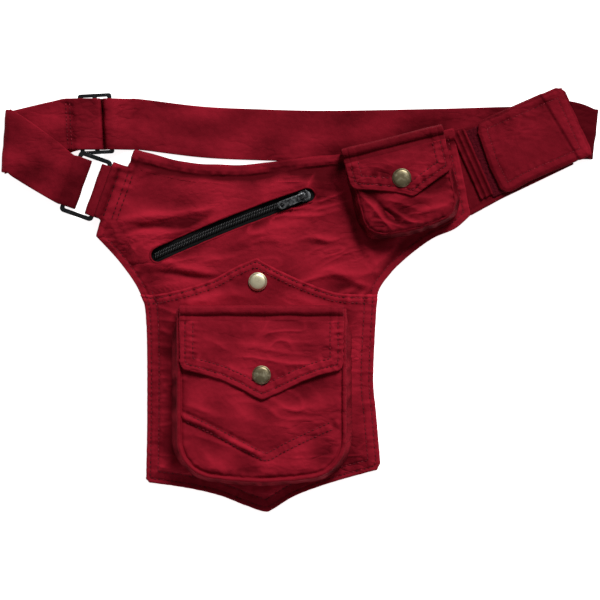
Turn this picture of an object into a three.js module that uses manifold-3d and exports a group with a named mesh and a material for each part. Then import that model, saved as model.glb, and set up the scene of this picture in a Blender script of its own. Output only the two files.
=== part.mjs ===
// A cotton belt bag lying on its back, with its strap loop spread out, in millimetres.
// X runs to the right, Y towards the waist edge and Z up from the surface it lies on.
import * as THREE from 'three';
import * as BufferGeometryUtils from 'three/addons/utils/BufferGeometryUtils.js';
import Module from 'manifold-3d';

const wasm = await Module();
wasm.setup();

// Driving dimensions of the pouch
const bodyWidth = 274;
const bodyHeight = 265;
const cloth = 1.5;
const mainRoom = 4.7;
const patchRoom = 1.6;
const hemFade = 22;
const gap = 0.3;
const cell = 11;

// Driving dimensions of the strap and its metal
const strapWidth = 38;
const strapThick = 1.6;
const foldRadius = 2.3;
const strapSpan = 429;
const rightFoldReach = 5.5;
const rightFoldDrop = 13;
const ringInnerLength = 41;
const ringInnerWidth = 19.5;
const ringBar = 3.2;
const ringThick = 2.6;
const ringReach = 22.5;
const ringLean = -19.5;
const sliderLength = 25;
const sliderThick = 2;
const sliderBar = 3.2;
const sliderRail = 2.6;
const sliderPlay = 0.7;
const tabWidth = 37;
const tabInside = 13;

// Driving dimensions of the zip
const zipLength = 130;
const zipOpening = 11;
const zipTapeWidth = 20;
const zipTapeThick = 0.7;
const chainWidth = 5;
const chainHeight = 2.1;
const zipAngle = 21.7;
const pullLength = 21;
const pullWidth = 6;
const pullThick = 1.4;

// Driving dimensions of the closure at the right
const wingAngle = 24;
const wingWidth = 57;
const wingLength = 78;
const closureLength = 72.5;
const closureWidth = 55.5;
const closureReach = 57.4;
const closureThick = 2.4;
const loopThick = 1.2;
const borderWidth = 8.5;
const borderThick = 1.6;

// Each bellows pocket has its own sizes
const boxPocket = {
  name: 'box_pocket', across: 0.444, up: 0.561, turn: 0, width: 119, height: 126, depth: 16,
  corner: 23, sideFlare: 7, bottomFlare: 4, dome: 2, flapOverhang: -0.5, flapLength: 63, snapUp: 15,
};
const smallPocket = {
  name: 'small_pocket', across: 0.793, up: 1.028, turn: 14.2, width: 70, height: 66, depth: 12,
  corner: 16, sideFlare: 4, bottomFlare: 3, dome: 1.5, flapOverhang: 2, flapLength: 42, snapUp: 13.5,
};
const pipingRadius = 1.4;
const flapThick = 1.8;
const snapRadius = 6.8;
const snapHeight = 2.4;

// Shares of the pouch's width and height, clockwise from its left ear. A corner row ends a round stretch.
const bodyOutline = [
  { across: 0.104, up: 1.0, corner: true },
  { across: 0.123, up: 0.994, corner: true },
  { across: 0.241, up: 0.965 },
  { across: 0.32, up: 0.958 },
  { across: 0.413, up: 0.959 },
  { across: 0.506, up: 0.972 },
  { across: 0.664, up: 0.989 },
  { across: 0.762, up: 1.011 },
  { across: 0.957, up: 1.059, corner: true },
  { across: 1.005, up: 0.824, corner: true },
  { across: 0.962, up: 0.785 },
  { across: 0.906, up: 0.76 },
  { across: 0.86, up: 0.728 },
  { across: 0.816, up: 0.69 },
  { across: 0.787, up: 0.659 },
  { across: 0.756, up: 0.612 },
  { across: 0.749, up: 0.55 },
  { across: 0.741, up: 0.369 },
  { across: 0.749, up: 0.265 },
  { across: 0.76, up: 0.13, corner: true },
  { across: 0.752, up: 0.115, corner: true },
  { across: 0.636, up: 0.082 },
  { across: 0.536, up: 0.045 },
  { across: 0.476, up: 0.008 },
  { across: 0.452, up: 0.0 },
  { across: 0.398, up: 0.018 },
  { across: 0.328, up: 0.046 },
  { across: 0.237, up: 0.067 },
  { across: 0.14, up: 0.081, corner: true },
  { across: 0.134, up: 0.089, corner: true },
  { across: 0.137, up: 0.265 },
  { across: 0.135, up: 0.525 },
  { across: 0.117, up: 0.606 },
  { across: 0.066, up: 0.687 },
  { across: 0.0, up: 0.763, corner: true },
  { across: 0.012, up: 0.807, corner: true },
  { across: 0.085, up: 0.955, corner: true },
];

// The patch pocket's free upper edge, in the same shares, from left to right
const patchEdge = [
  { across: 0.1, up: 0.598, corner: true },
  { across: 0.158, up: 0.597 },
  { across: 0.237, up: 0.6145 },
  { across: 0.312, up: 0.64 },
  { across: 0.367, up: 0.671 },
  { across: 0.43, up: 0.7, corner: true },
  { across: 0.467, up: 0.677 },
  { across: 0.537, up: 0.6425 },
  { across: 0.611, up: 0.612 },
  { across: 0.66, up: 0.6 },
  { across: 0.78, up: 0.597, corner: true },
];

// Soft creases of the front: centre and length in shares of the pouch, height in shares of mainRoom
const bodyCreases = [
  { across: 0.2, up: 0.86, turn: -8, long: 0.16, wide: 0.035, high: 0.35 },
  { across: 0.06, up: 0.79, turn: -50, long: 0.07, wide: 0.03, high: 0.3 },
  { across: 0.2, up: 0.64, turn: 18, long: 0.12, wide: 0.035, high: 0.35 },
  { across: 0.5, up: 0.9, turn: 6, long: 0.2, wide: 0.03, high: 0.25 },
  { across: 0.72, up: 0.68, turn: 62, long: 0.12, wide: 0.035, high: 0.4 },
  { across: 0.66, up: 0.8, turn: 55, long: 0.12, wide: 0.035, high: 0.3 },
];

// A pointed flap's hem: distance from its middle in half widths, and drop in flap lengths
const flapHem = [
  { side: 0, drop: 1 },
  { side: 0.12, drop: 0.965 },
  { side: 0.26, drop: 0.885 },
  { side: 0.5, drop: 0.785 },
  { side: 0.72, drop: 0.71 },
  { side: 0.95, drop: 0.66 },
  { side: 1, drop: 0.6 },
];

// The long hidden leg of the strap: place along strapSpan, height over the waist in strap widths
const backLeg = [
  { along: 0.955, rise: 0.35, lean: -3 },
  { along: 0.87, rise: 0.379, lean: 0 },
  { along: 0.74, rise: 0.34, lean: 0 },
  { along: 0.55, rise: 0.302, lean: 0 },
  { along: 0.43, rise: 0.331, lean: 0 },
  { along: 0.33, rise: 0.385, lean: 1 },
  { along: 0.228, rise: 0.525, lean: 2 },
];

// Materials
const twill = (name) => new THREE.MeshStandardMaterial({ name, color: 0x7c0a1c, roughness: 0.9, metalness: 0 });
const blackMetal = new THREE.MeshStandardMaterial({ color: 0x15161a, roughness: 0.35, metalness: 0.9 });
const zipBlack = new THREE.MeshStandardMaterial({ color: 0x101013, roughness: 0.8, metalness: 0 });
const chainGrey = new THREE.MeshStandardMaterial({ color: 0x4a4c50, roughness: 0.45, metalness: 0.3 });
const brass = new THREE.MeshStandardMaterial({ color: 0xa48a54, roughness: 0.35, metalness: 1 });

const bag = new THREE.Group();

// Small helpers for numbers and points
const degrees = Math.PI / 180;
const clamp = (v, low, high) => Math.min(high, Math.max(low, v));
function smooth(low, high, v) {
  const t = clamp((v - low) / (high - low), 0, 1);
  return t * t * (3 - 2 * t);
}
const mix = (a, b, t) => a + (b - a) * t;
const onBody = (across, up) => new THREE.Vector2(across * bodyWidth, up * bodyHeight);

// Draws a table of rows as points: straight between corner rows, a spline through the rows between them
function drawn(rows, place, closed) {
  const points = rows.map((row) => place(row));
  const corners = rows.map((row, i) => (row.corner ? i : -1)).filter((i) => i >= 0);
  const last = closed ? corners.length : corners.length - 1;
  const out = [];
  for (let c = 0; c < last; c += 1) {
    const from = corners[c];
    const to = c + 1 < corners.length ? corners[c + 1] : corners[0] + rows.length;
    const stretch = [];
    for (let i = from; i <= to; i += 1) stretch.push(points[i % rows.length]);
    const steps = stretch.length > 2 ? stretch.length + 1 : 1;
    const curve = new THREE.SplineCurve(stretch);
    for (let s = 0; s < steps; s += 1) out.push(curve.getPoint(s / steps));
  }
  if (!closed) out.push(points[corners[corners.length - 1]]);
  return out;
}

// Distance from a point to the nearest side of a closed outline, negative outside it
function depthInside(outline, x, y) {
  let nearest = Infinity;
  let inside = false;
  for (let i = 0, j = outline.length - 1; i < outline.length; j = i, i += 1) {
    const a = outline[j];
    const b = outline[i];
    const dx = b.x - a.x;
    const dy = b.y - a.y;
    const t = clamp(((x - a.x) * dx + (y - a.y) * dy) / (dx * dx + dy * dy), 0, 1);
    nearest = Math.min(nearest, Math.hypot(x - a.x - dx * t, y - a.y - dy * t));
    if ((a.y > y) !== (b.y > y) && x < ((b.x - a.x) * (y - a.y)) / (b.y - a.y) + a.x) inside = !inside;
  }
  return inside ? nearest : -nearest;
}

// Turns a list of corner points and triangles into a geometry whose faces point out
function geometryFrom(points, triangles) {
  let volume = 0;
  for (const [a, b, c] of triangles) {
    volume += new THREE.Vector3().crossVectors(points[b], points[c]).dot(points[a]);
  }
  const index = triangles.flatMap(([a, b, c]) => (volume > 0 ? [a, b, c] : [a, c, b]));
  const geometry = new THREE.BufferGeometry().setFromPoints(points);
  geometry.setIndex(index);
  return geometry;
}

// A closed wall between two grids of points of the same size
function wall(front, back) {
  const rows = front.length;
  const columns = front[0].length;
  const points = [...front.flat(), ...back.flat()];
  const at = (side, r, c) => side * rows * columns + r * columns + c;
  const triangles = [];
  const quad = (a, b, c, d) => triangles.push([a, b, c], [a, c, d]);
  for (let r = 0; r + 1 < rows; r += 1) {
    for (let c = 0; c + 1 < columns; c += 1) {
      quad(at(0, r, c), at(0, r, c + 1), at(0, r + 1, c + 1), at(0, r + 1, c));
      quad(at(1, r, c), at(1, r + 1, c), at(1, r + 1, c + 1), at(1, r, c + 1));
    }
    quad(at(0, r + 1, 0), at(1, r + 1, 0), at(1, r, 0), at(0, r, 0));
    quad(at(0, r, columns - 1), at(1, r, columns - 1), at(1, r + 1, columns - 1), at(0, r + 1, columns - 1));
  }
  for (let c = 0; c + 1 < columns; c += 1) {
    quad(at(0, 0, c), at(1, 0, c), at(1, 0, c + 1), at(0, 0, c + 1));
    quad(at(0, rows - 1, c + 1), at(1, rows - 1, c + 1), at(1, rows - 1, c), at(0, rows - 1, c));
  }
  return geometryFrom(points, triangles);
}

// Closed geometry to solid and back, for joining and cutting
function solid(geometry) {
  const bare = geometry.clone();
  bare.deleteAttribute('normal');
  bare.deleteAttribute('uv');
  const merged = BufferGeometryUtils.mergeVertices(bare, 1e-4);
  const vertProperties = new Float32Array(merged.attributes.position.array);
  return new wasm.Manifold(new wasm.Mesh({ numProp: 3, vertProperties, triVerts: new Uint32Array(merged.index.array) }));
}
function geometryOf(body) {
  const mesh = body.getMesh();
  const geometry = new THREE.BufferGeometry();
  geometry.setAttribute('position', new THREE.BufferAttribute(mesh.vertProperties, 3));
  geometry.setIndex(new THREE.BufferAttribute(mesh.triVerts, 1));
  return geometry;
}
function add(parent, name, geometry, material) {
  const mesh = new THREE.Mesh(geometry, material);
  mesh.name = name;
  parent.add(mesh);
  return mesh;
}

// An upright prism over an outline, from one height to another
function prism(outline, low, high) {
  const geometry = new THREE.ExtrudeGeometry(new THREE.Shape(outline), { depth: high - low, bevelEnabled: false });
  return geometry.translate(0, 0, low);
}

// A flat plate of a shape with round corners: points that fall together are kept once, and the outline
// runs one way round and its holes the other
function plate(shape, thick, segments) {
  const once = (path, clockwise) => {
    const points = path.getPoints(segments).filter((p, i, all) => {
      const next = all[(i + 1) % all.length];
      return Math.hypot(next.x - p.x, next.y - p.y) > 0.01;
    });
    return THREE.ShapeUtils.isClockWise(points) === clockwise ? points : points.reverse();
  };
  const clean = new THREE.Shape(once(shape, false));
  clean.holes = shape.holes.map((hole) => new THREE.Path(once(hole, true)));
  return new THREE.ExtrudeGeometry(clean, { depth: thick, bevelEnabled: false });
}

// Heights on the shared lattice, so that sheets laid over each other bend at the same lines
const latticeHeight = (f, x, y) => {
  const i = Math.floor(x / cell);
  const j = Math.floor(y / cell);
  const u = x / cell - i;
  const v = y / cell - j;
  const h = (a, b) => f((i + a) * cell, (j + b) * cell);
  if (u > v) return h(0, 0) + u * (h(1, 0) - h(0, 0)) + v * (h(1, 1) - h(1, 0));
  return h(0, 0) + v * (h(0, 1) - h(0, 0)) + u * (h(1, 1) - h(0, 1));
};

// A cloth panel: the space between two height functions, cut to an outline
function panel(outline, bottom, top) {
  const box = new THREE.Box2().setFromPoints(outline);
  const first = { i: Math.floor(box.min.x / cell) - 1, j: Math.floor(box.min.y / cell) - 1 };
  const last = { i: Math.ceil(box.max.x / cell) + 1, j: Math.ceil(box.max.y / cell) + 1 };
  const grid = (f) => {
    const rows = [];
    for (let j = first.j; j <= last.j; j += 1) {
      const row = [];
      for (let i = first.i; i <= last.i; i += 1) {
        row.push(new THREE.Vector3(i * cell, j * cell, f(i * cell, j * cell)));
      }
      rows.push(row);
    }
    return rows;
  };
  return solid(wall(grid(top), grid(bottom))).intersect(solid(prism(outline, -50, 150)));
}

// The pouch's own surfaces, from the back panel up
const waist = onBody(0, 1).y;
const body = drawn(bodyOutline, (row) => onBody(row.across, row.up), true);
const ringSeat = onBody(0.048, 0.875);
const strapPitch = strapThick + gap;
const tabRoom = 2 * strapPitch + gap;

function liftOverStrap(x, y) {
  const fromStrap = waist - 0.25 * strapWidth - cell;
  return strapPitch * smooth(fromStrap - 14, fromStrap, y) * smooth(0.24 * bodyWidth, 0.38 * bodyWidth, x);
}
function creased(x, y) {
  let height = 0;
  for (const row of bodyCreases) {
    const centre = onBody(row.across, row.up);
    const along = (x - centre.x) * Math.cos(row.turn * degrees) + (y - centre.y) * Math.sin(row.turn * degrees);
    const across = (y - centre.y) * Math.cos(row.turn * degrees) - (x - centre.x) * Math.sin(row.turn * degrees);
    const fade = Math.exp(-((along / (row.long * bodyWidth)) ** 2) - (across / (row.wide * bodyWidth)) ** 2);
    height += row.high * mainRoom * fade;
  }
  return height;
}
const backTop = (x, y) => liftOverStrap(x, y) + cloth;
function frontBottom(x, y) {
  const interior = smooth(0, hemFade, depthInside(body, x, y));
  const room = interior * (mainRoom + creased(x, y));
  const nearTab = tabRoom * smooth(1.3 * tabWidth, 0.8 * tabWidth, Math.hypot(x - ringSeat.x, y - ringSeat.y));
  return backTop(x, y) + gap + Math.max(room, nearTab);
}
const frontTop = (x, y) => frontBottom(x, y) + cloth;
function patchBottom(x, y) {
  const interior = smooth(0, hemFade, depthInside(body, x, y));
  return frontTop(x, y) + gap + patchRoom * interior;
}
const patchTop = (x, y) => patchBottom(x, y) + cloth;

// Back and front panels; the front has the slanted zip slot
add(bag, 'body_back', geometryOf(panel(body, liftOverStrap, backTop)), twill('twill back'));

const zipMiddle = onBody(0.366, 0.794);
const zipAlong = new THREE.Vector2(Math.cos(zipAngle * degrees), Math.sin(zipAngle * degrees));
function onZip(along, across) {
  const bow = 2 * (1 - (2 * along / zipLength) ** 2);
  return new THREE.Vector2(
    zipMiddle.x + zipAlong.x * along - zipAlong.y * (across + bow),
    zipMiddle.y + zipAlong.y * along + zipAlong.x * (across + bow),
  );
}
function zipBand(length, width) {
  const upper = [];
  const lower = [];
  for (let s = 0; s <= 8; s += 1) {
    const along = (s / 8 - 0.5) * length;
    upper.push(onZip(along, width / 2));
    lower.push(onZip(along, -width / 2));
  }
  return [...lower, ...upper.reverse()];
}
const slot = solid(prism(zipBand(zipLength, zipOpening), -50, 150));
const front = panel(body, frontBottom, frontTop).subtract(slot);
add(bag, 'body_front', geometryOf(front), twill('twill front'));

// The zip: tapes with the closed chain along their middle, the slider over it and its hinged pull
const tapeTop = (x, y) => frontBottom(x, y) - gap;
const tape = panel(zipBand(zipLength + 8, zipTapeWidth), (x, y) => tapeTop(x, y) - zipTapeThick, tapeTop);
add(bag, 'zip_tape', geometryOf(tape), zipBlack);
const chainBottom = (x, y) => tapeTop(x, y) + gap;
const chain = panel(zipBand(zipLength - 4, chainWidth), chainBottom, (x, y) => chainBottom(x, y) + chainHeight);
add(bag, 'zip_chain', geometryOf(chain), chainGrey);

const sliderPlate = { length: 9.5, width: 8.4, thick: 1.2, skirt: 1.1, back: 8 };
const bridge = { length: 5, width: 2, rise: 3.6, hole: 2.2 };
const sliderAt = onZip(zipLength / 2 - sliderPlate.back, 0);
const sliderFloor = latticeHeight(chainBottom, sliderAt.x, sliderAt.y) + chainHeight + 2 * gap;
const zipGroup = new THREE.Group();
zipGroup.position.set(sliderAt.x, sliderAt.y, sliderFloor);
zipGroup.rotation.z = zipAngle * degrees;
bag.add(zipGroup);

const block = (lx, ly, lz, x, y, z) => solid(new THREE.BoxGeometry(lx, ly, lz).translate(x, y, z));
const pinPlay = 1.5 * gap;
const pinHeight = sliderPlate.thick + pinPlay + pullThick / 2;
const skirtSide = chainWidth / 2 + gap + sliderPlate.skirt / 2;
const skirtDrop = chainHeight - 0.4;
let slider = solid(new THREE.CylinderGeometry(sliderPlate.width / 2, sliderPlate.width / 2, sliderPlate.thick, 24)
  .rotateX(Math.PI / 2).scale(sliderPlate.length / sliderPlate.width, 1, 1).translate(0, 0, sliderPlate.thick / 2));
for (const side of [-1, 1]) {
  const skirtLength = 0.6 * sliderPlate.length;
  slider = slider.add(block(skirtLength, sliderPlate.skirt, skirtDrop + 0.2, 0, side * skirtSide, 0.1 - skirtDrop / 2));
}
const arch = block(bridge.length, bridge.width, bridge.rise + 0.2, 0, 0, sliderPlate.thick + bridge.rise / 2 - 0.1);
const archHole = block(bridge.hole, bridge.width + 2, pullThick + 2 * pinPlay, 0, 0, pinHeight);
slider = slider.add(arch.subtract(archHole));
add(zipGroup, 'zip_slider', geometryOf(slider), blackMetal);

const pullEye = { inner: 3.2, wide: 2.8, bar: 1.4 };
const pullOutline = new THREE.Shape();
pullOutline.moveTo(pullEye.bar / 2, -pullEye.wide / 2 - pullEye.bar);
pullOutline.lineTo(pullEye.bar / 2, pullEye.wide / 2 + pullEye.bar);
pullOutline.lineTo(-pullEye.inner - 2, pullEye.wide / 2 + pullEye.bar);
pullOutline.lineTo(-pullLength + pullWidth / 2, pullWidth / 2);
pullOutline.absarc(-pullLength + pullWidth / 2, 0, pullWidth / 2, Math.PI / 2, 1.5 * Math.PI, false);
pullOutline.lineTo(-pullEye.inner - 2, -pullEye.wide / 2 - pullEye.bar);
const pullWindow = new THREE.Path();
pullWindow.moveTo(-pullEye.bar / 2, -pullEye.wide / 2);
pullWindow.lineTo(-pullEye.bar / 2 - pullEye.inner, -pullEye.wide / 2);
pullWindow.lineTo(-pullEye.bar / 2 - pullEye.inner, pullEye.wide / 2);
pullWindow.lineTo(-pullEye.bar / 2, pullEye.wide / 2);
const pullHole = new THREE.Path();
pullHole.absarc(-pullLength + pullWidth / 2, 0, pullWidth / 4, 0, 2 * Math.PI, true);
pullOutline.holes = [pullWindow, pullHole];
const pull = plate(pullOutline, pullThick, 8).translate(0, 0, pinHeight - pullThick / 2);
add(zipGroup, 'zip_pull', pull, blackMetal);

// The patch pocket covers the lower front and is open along its pointed upper edge
const patchLine = drawn(patchEdge, (row) => onBody(row.across, row.up), false);
const patchCut = [...patchLine, onBody(1.1, -0.1), onBody(-0.1, -0.1)];
const patch = panel(body, patchBottom, patchTop).intersect(solid(prism(patchCut, -50, 150)));
add(bag, 'patch_pocket', geometryOf(patch), twill('twill patch'));

// A domed snap cap, standing on a surface
function snapCap(name, x, y, z, parent) {
  const profile = [[0, 0], [snapRadius, 0], [snapRadius, 0.35 * snapHeight], [0.86 * snapRadius, 0.72 * snapHeight],
    [0.5 * snapRadius, 0.95 * snapHeight], [0, snapHeight]];
  const turned = new THREE.LatheGeometry(profile.map(([r, h]) => new THREE.Vector2(r, h)), 18);
  const mesh = add(parent, name, geometryOf(solid(turned.rotateX(Math.PI / 2))), brass);
  mesh.position.set(x, y, z);
}
const patchSnap = onBody(0.433, 0.637);
const patchSnapRise = 0.6;
snapCap('snap_cap_patch', patchSnap.x, patchSnap.y, latticeHeight(patchTop, patchSnap.x, patchSnap.y) + patchSnapRise, bag);

// A bellows pocket: gusset wall, front panel, optional piping, and a pointed flap with its snap cap
function uPath(half, height, corner) {
  const points = [];
  const sag = 0.02 * height;
  for (let s = 0; s < 4; s += 1) points.push([-half, -(height - corner) * (s / 4)]);
  for (let s = 0; s <= 4; s += 1) {
    const a = (s / 4) * 90 * degrees;
    points.push([-half + corner * (1 - Math.cos(a)), -(height - corner) - corner * Math.sin(a)]);
  }
  for (let s = 1; s <= 2; s += 1) {
    const x = mix(-half + corner, 0, s / 2);
    points.push([x, -height - sag * (1 - (x / (half - corner)) ** 2)]);
  }
  const mirrored = points.slice(0, -1).reverse().map(([x, y]) => [-x, y]);
  return [...points, ...mirrored];
}

function bellowsPocket(size, seat, piped) {
  const group = new THREE.Group();
  const origin = onBody(size.across, size.up);
  group.position.set(origin.x, origin.y, 0);
  group.rotation.z = size.turn * degrees;
  bag.add(group);
  const cos = Math.cos(size.turn * degrees);
  const sin = Math.sin(size.turn * degrees);
  const seatAt = (x, y) => latticeHeight(seat, origin.x + x * cos - y * sin, origin.y + x * sin + y * cos);
  const near = 0.4 * cell;
  const clearOf = (x, y) => Math.max(
    ...[[0, 0], [near, 0], [-near, 0], [0, near], [0, -near]].map(([dx, dy]) => seatAt(x + dx, y + dy)),
  );
  const half = size.width / 2;
  const middle = -0.45 * size.height;
  const frontBase = seatAt(0, middle) + size.depth;

  // gusset: four levels from the wide base to the rim under the front panel
  const levels = [{ share: 0, swell: 0 }, { share: 0.35, swell: 0.6 }, { share: 0.7, swell: 0.9 }, { share: 1, swell: 0 }];
  const side = (inset) => levels.map((level) => {
    const flare = (1 - level.share) ** 1.5;
    const path = uPath(
      half + size.sideFlare * flare + level.swell - inset,
      size.height + size.bottomFlare * flare + level.swell - inset,
      size.corner + size.sideFlare * flare - inset,
    );
    return path.map(([x, y]) => {
      const low = clearOf(x, y) + 2 * gap;
      return new THREE.Vector3(x, y, mix(low, frontBase - gap, level.share));
    });
  });
  add(group, `${size.name}_gusset`, wall(side(0), side(cloth)), twill(`${size.name} gusset`));

  // front panel: a shallow dome inside the same outline
  const outline = uPath(half, size.height, size.corner).map(([x, y]) => new THREE.Vector2(x, y));
  const dome = (x, y) => {
    const across = 1 - (x / half) ** 2;
    const along = 1 - ((y - middle) / (0.6 * size.height)) ** 2;
    return size.dome * clamp(across, 0, 1) * clamp(along, 0, 1);
  };
  const face = panel(outline, (x, y) => frontBase + dome(x, y), (x, y) => frontBase + cloth + dome(x, y));
  add(group, `${size.name}_front`, geometryOf(face), twill(`${size.name} front`));

  // piping: a round cord in the seam, outside the front panel's edge
  if (piped) {
    const height = frontBase + cloth / 2;
    const halfRound = (up) => [22.5, 67.5, 112.5, 157.5].map((angle) => {
      const out = gap + pipingRadius * (1 + Math.cos(angle * degrees));
      const way = uPath(half + out, size.height + out, size.corner + out);
      return way.map(([x, y]) => new THREE.Vector3(x, y, height + up * pipingRadius * Math.sin(angle * degrees)));
    });
    add(group, `${size.name}_piping`, wall(halfRound(1), halfRound(-1)), twill(`${size.name} piping`));
  }

  // flap: up the top of the pocket, over its edge and down the front to a pointed hem
  const flapHalf = half + size.flapOverhang;
  const rise = frontBase + cloth + size.dome + gap;
  const foot = seatAt(0, 3) + 2 * gap;
  const profile = [
    { out: 3.4, high: 0 }, { out: 4, high: 0.5 }, { out: 3.6, high: 0.9 },
    { out: 1.6, high: 1.1 }, { out: -2.5, high: 1.08 },
  ];
  const hemDrop = (s) => {
    const i = Math.min(flapHem.findIndex((row) => row.side >= s), flapHem.length - 1);
    if (i <= 0) return flapHem[0].drop;
    const a = flapHem[i - 1];
    const b = flapHem[i];
    return mix(a.drop, b.drop, (s - a.side) / (b.side - a.side));
  };
  const sides = [...flapHem.slice(1).reverse().map((row) => -row.side), ...flapHem.map((row) => row.side)];
  const flapRows = (inset) => {
    const rows = profile.map((row, r) => sides.map((s) => new THREE.Vector3(
      s * flapHalf, row.out - (r < 3 ? inset : 0),
      mix(foot, rise + flapThick, row.high) - (r < 3 ? 0 : inset),
    )));
    for (let r = 1; r <= 5; r += 1) {
      rows.push(sides.map((s) => new THREE.Vector3(
        s * flapHalf, mix(profile[4].out, -size.flapLength * hemDrop(Math.abs(s)), r / 5),
        mix(mix(foot, rise + flapThick, profile[4].high), rise + flapThick, smooth(0, 3, r)) - inset,
      )));
    }
    return rows;
  };
  add(group, `${size.name}_flap`, wall(flapRows(0), flapRows(flapThick)), twill(`${size.name} flap`));
  const capName = `snap_cap_${size.name.replace('_pocket', '')}`;
  snapCap(capName, 0, size.snapUp - size.flapLength, rise + flapThick + gap, group);
}
bellowsPocket(boxPocket, patchTop, true);
bellowsPocket(smallPocket, frontTop, false);

// Ribbon through stations: centre, lean of its width, and a width factor
function ribbon(stations, width, thick) {
  const front = [];
  const back = [];
  stations.forEach((station, i) => {
    const before = stations[Math.max(i - 1, 0)];
    const after = stations[Math.min(i + 1, stations.length - 1)];
    const tangent = new THREE.Vector3(after.x - before.x, after.y - before.y, after.z - before.z);
    const side = new THREE.Vector3(-Math.sin(station.lean * degrees), Math.cos(station.lean * degrees), 0);
    const normal = new THREE.Vector3().crossVectors(side, tangent).normalize().multiplyScalar(thick / 2);
    const half = (width * (station.wide ?? 1)) / 2;
    const centre = new THREE.Vector3(station.x, station.y, station.z);
    const row = (offset) => [-1, 0, 1].map((s) => centre.clone().addScaledVector(side, s * half).add(offset));
    front.push(row(normal));
    back.push(row(normal.clone().negate()));
  });
  return wall(front, back);
}
// Stations round a fold, from a low layer to a high one or back
function fold(x, y, lean, towards, lowZ, highZ, upwards, wide) {
  const stations = [];
  const radius = (highZ - lowZ) / 2;
  for (let s = 0; s <= 6; s += 1) {
    const a = (s / 6) * 180 * degrees;
    const reach = radius * Math.sin(a);
    const rise = upwards ? -Math.cos(a) : Math.cos(a);
    stations.push({
      x: x + reach * Math.cos(towards * degrees), y: y + reach * Math.sin(towards * degrees),
      z: (lowZ + highZ) / 2 + radius * rise, lean, wide,
    });
  }
  return stations;
}

// The ring lies flat beside the pouch; its frame runs across the ring and along its long side
const ringAlong = (s, side) => new THREE.Vector2(
  ringCentre.x + s * Math.cos(ringLean * degrees) - side * Math.sin(ringLean * degrees),
  ringCentre.y + s * Math.sin(ringLean * degrees) + side * Math.cos(ringLean * degrees),
);
const ringCentre = new THREE.Vector2(
  ringSeat.x - ringReach * Math.cos(ringLean * degrees), ringSeat.y - ringReach * Math.sin(ringLean * degrees),
);
const sliderBottom = 2 * strapPitch;
const sliderTop = sliderBottom + sliderThick;
const ringBottom = sliderTop + gap;
const underRing = ringBottom - gap - strapThick / 2;
const overRing = ringBottom + ringThick + gap + strapThick / 2;
const barAt = (ringInnerWidth + ringBar) / 2;

function roundedFrame(length, width, radius) {
  const shape = new THREE.Shape();
  const x = width / 2;
  const y = length / 2;
  shape.moveTo(-x + radius, -y);
  shape.lineTo(x - radius, -y);
  shape.absarc(x - radius, -y + radius, radius, -Math.PI / 2, 0, false);
  shape.lineTo(x, y - radius);
  shape.absarc(x - radius, y - radius, radius, 0, Math.PI / 2, false);
  shape.lineTo(-x + radius, y);
  shape.absarc(-x + radius, y - radius, radius, Math.PI / 2, Math.PI, false);
  shape.lineTo(-x, -y + radius);
  shape.absarc(-x + radius, -y + radius, radius, Math.PI, 1.5 * Math.PI, false);
  return shape;
}
const ringShape = roundedFrame(ringInnerLength + 2 * ringBar, ringInnerWidth + 2 * ringBar, ringBar);
ringShape.holes.push(roundedFrame(ringInnerLength, ringInnerWidth, 1));
const ringMesh = add(bag, 'rect_ring', plate(ringShape, ringThick, 4), blackMetal);
ringMesh.position.set(ringCentre.x, ringCentre.y, ringBottom);
ringMesh.rotation.z = ringLean * degrees;

// The cloth loop that ties the ring's right bar to the pouch
const tabLow = cloth + gap + strapThick / 2;
const tabSlack = 2.6;
const seatStation = (s, z) => ({ ...pointOf(ringAlong(s, 0)), z, lean: ringLean });
function pointOf(v) {
  return { x: v.x, y: v.y };
}
const tabFold = pointOf(ringAlong(barAt - tabSlack, 0));
const tabStations = [
  seatStation(ringReach + tabInside, tabLow),
  seatStation(ringReach - 4, tabLow),
  seatStation(barAt + ringBar / 2 + 1.5, underRing - 0.3),
  seatStation(barAt, underRing),
  ...fold(tabFold.x, tabFold.y, ringLean, 180 + ringLean, underRing, overRing, true, 1),
  seatStation(barAt + ringBar / 2 + 0.6, overRing),
  seatStation(ringReach - 3, tabLow + strapPitch + 0.5),
  seatStation(ringReach - 1, tabLow + strapPitch),
  seatStation(ringReach + tabInside, tabLow + strapPitch),
];
add(bag, 'ring_tab', ribbon(tabStations, tabWidth, strapThick), twill('twill tab'));

// The wing carries the closure; its frame starts at the pouch's right seam and leans up with the belt
const seamTop = onBody(bodyOutline[8].across, bodyOutline[8].up);
const seamFoot = onBody(bodyOutline[9].across, bodyOutline[9].up);
const wingStart = seamTop.clone().lerp(seamFoot, 0.5);
const wingCos = Math.cos(wingAngle * degrees);
const wingSin = Math.sin(wingAngle * degrees);
const onWing = (along, across) => new THREE.Vector2(
  wingStart.x + along * wingCos - across * wingSin, wingStart.y + along * wingSin + across * wingCos,
);
const toWing = (v) => {
  const dx = v.x - wingStart.x;
  const dy = v.y - wingStart.y;
  return { along: dx * wingCos + dy * wingSin, across: dy * wingCos - dx * wingSin };
};
const topAt = toWing(seamTop);
const footAt = toWing(seamFoot);
const wingOutline = [
  onWing(footAt.along + 2 * gap, footAt.across),
  onWing(footAt.along + 26, -wingWidth / 2 - 0.6),
  onWing(wingLength, -wingWidth / 2 + 1),
  onWing(wingLength, wingWidth / 2),
  onWing(topAt.along + 10, wingWidth / 2 + 0.4),
  onWing(topAt.along + 2 * gap, topAt.across),
];
const wingLow = strapPitch;
const wingTop = wingLow + strapThick;
add(bag, 'belt_wing', prism(wingOutline, wingLow, wingTop), twill('twill wing'));

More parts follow.
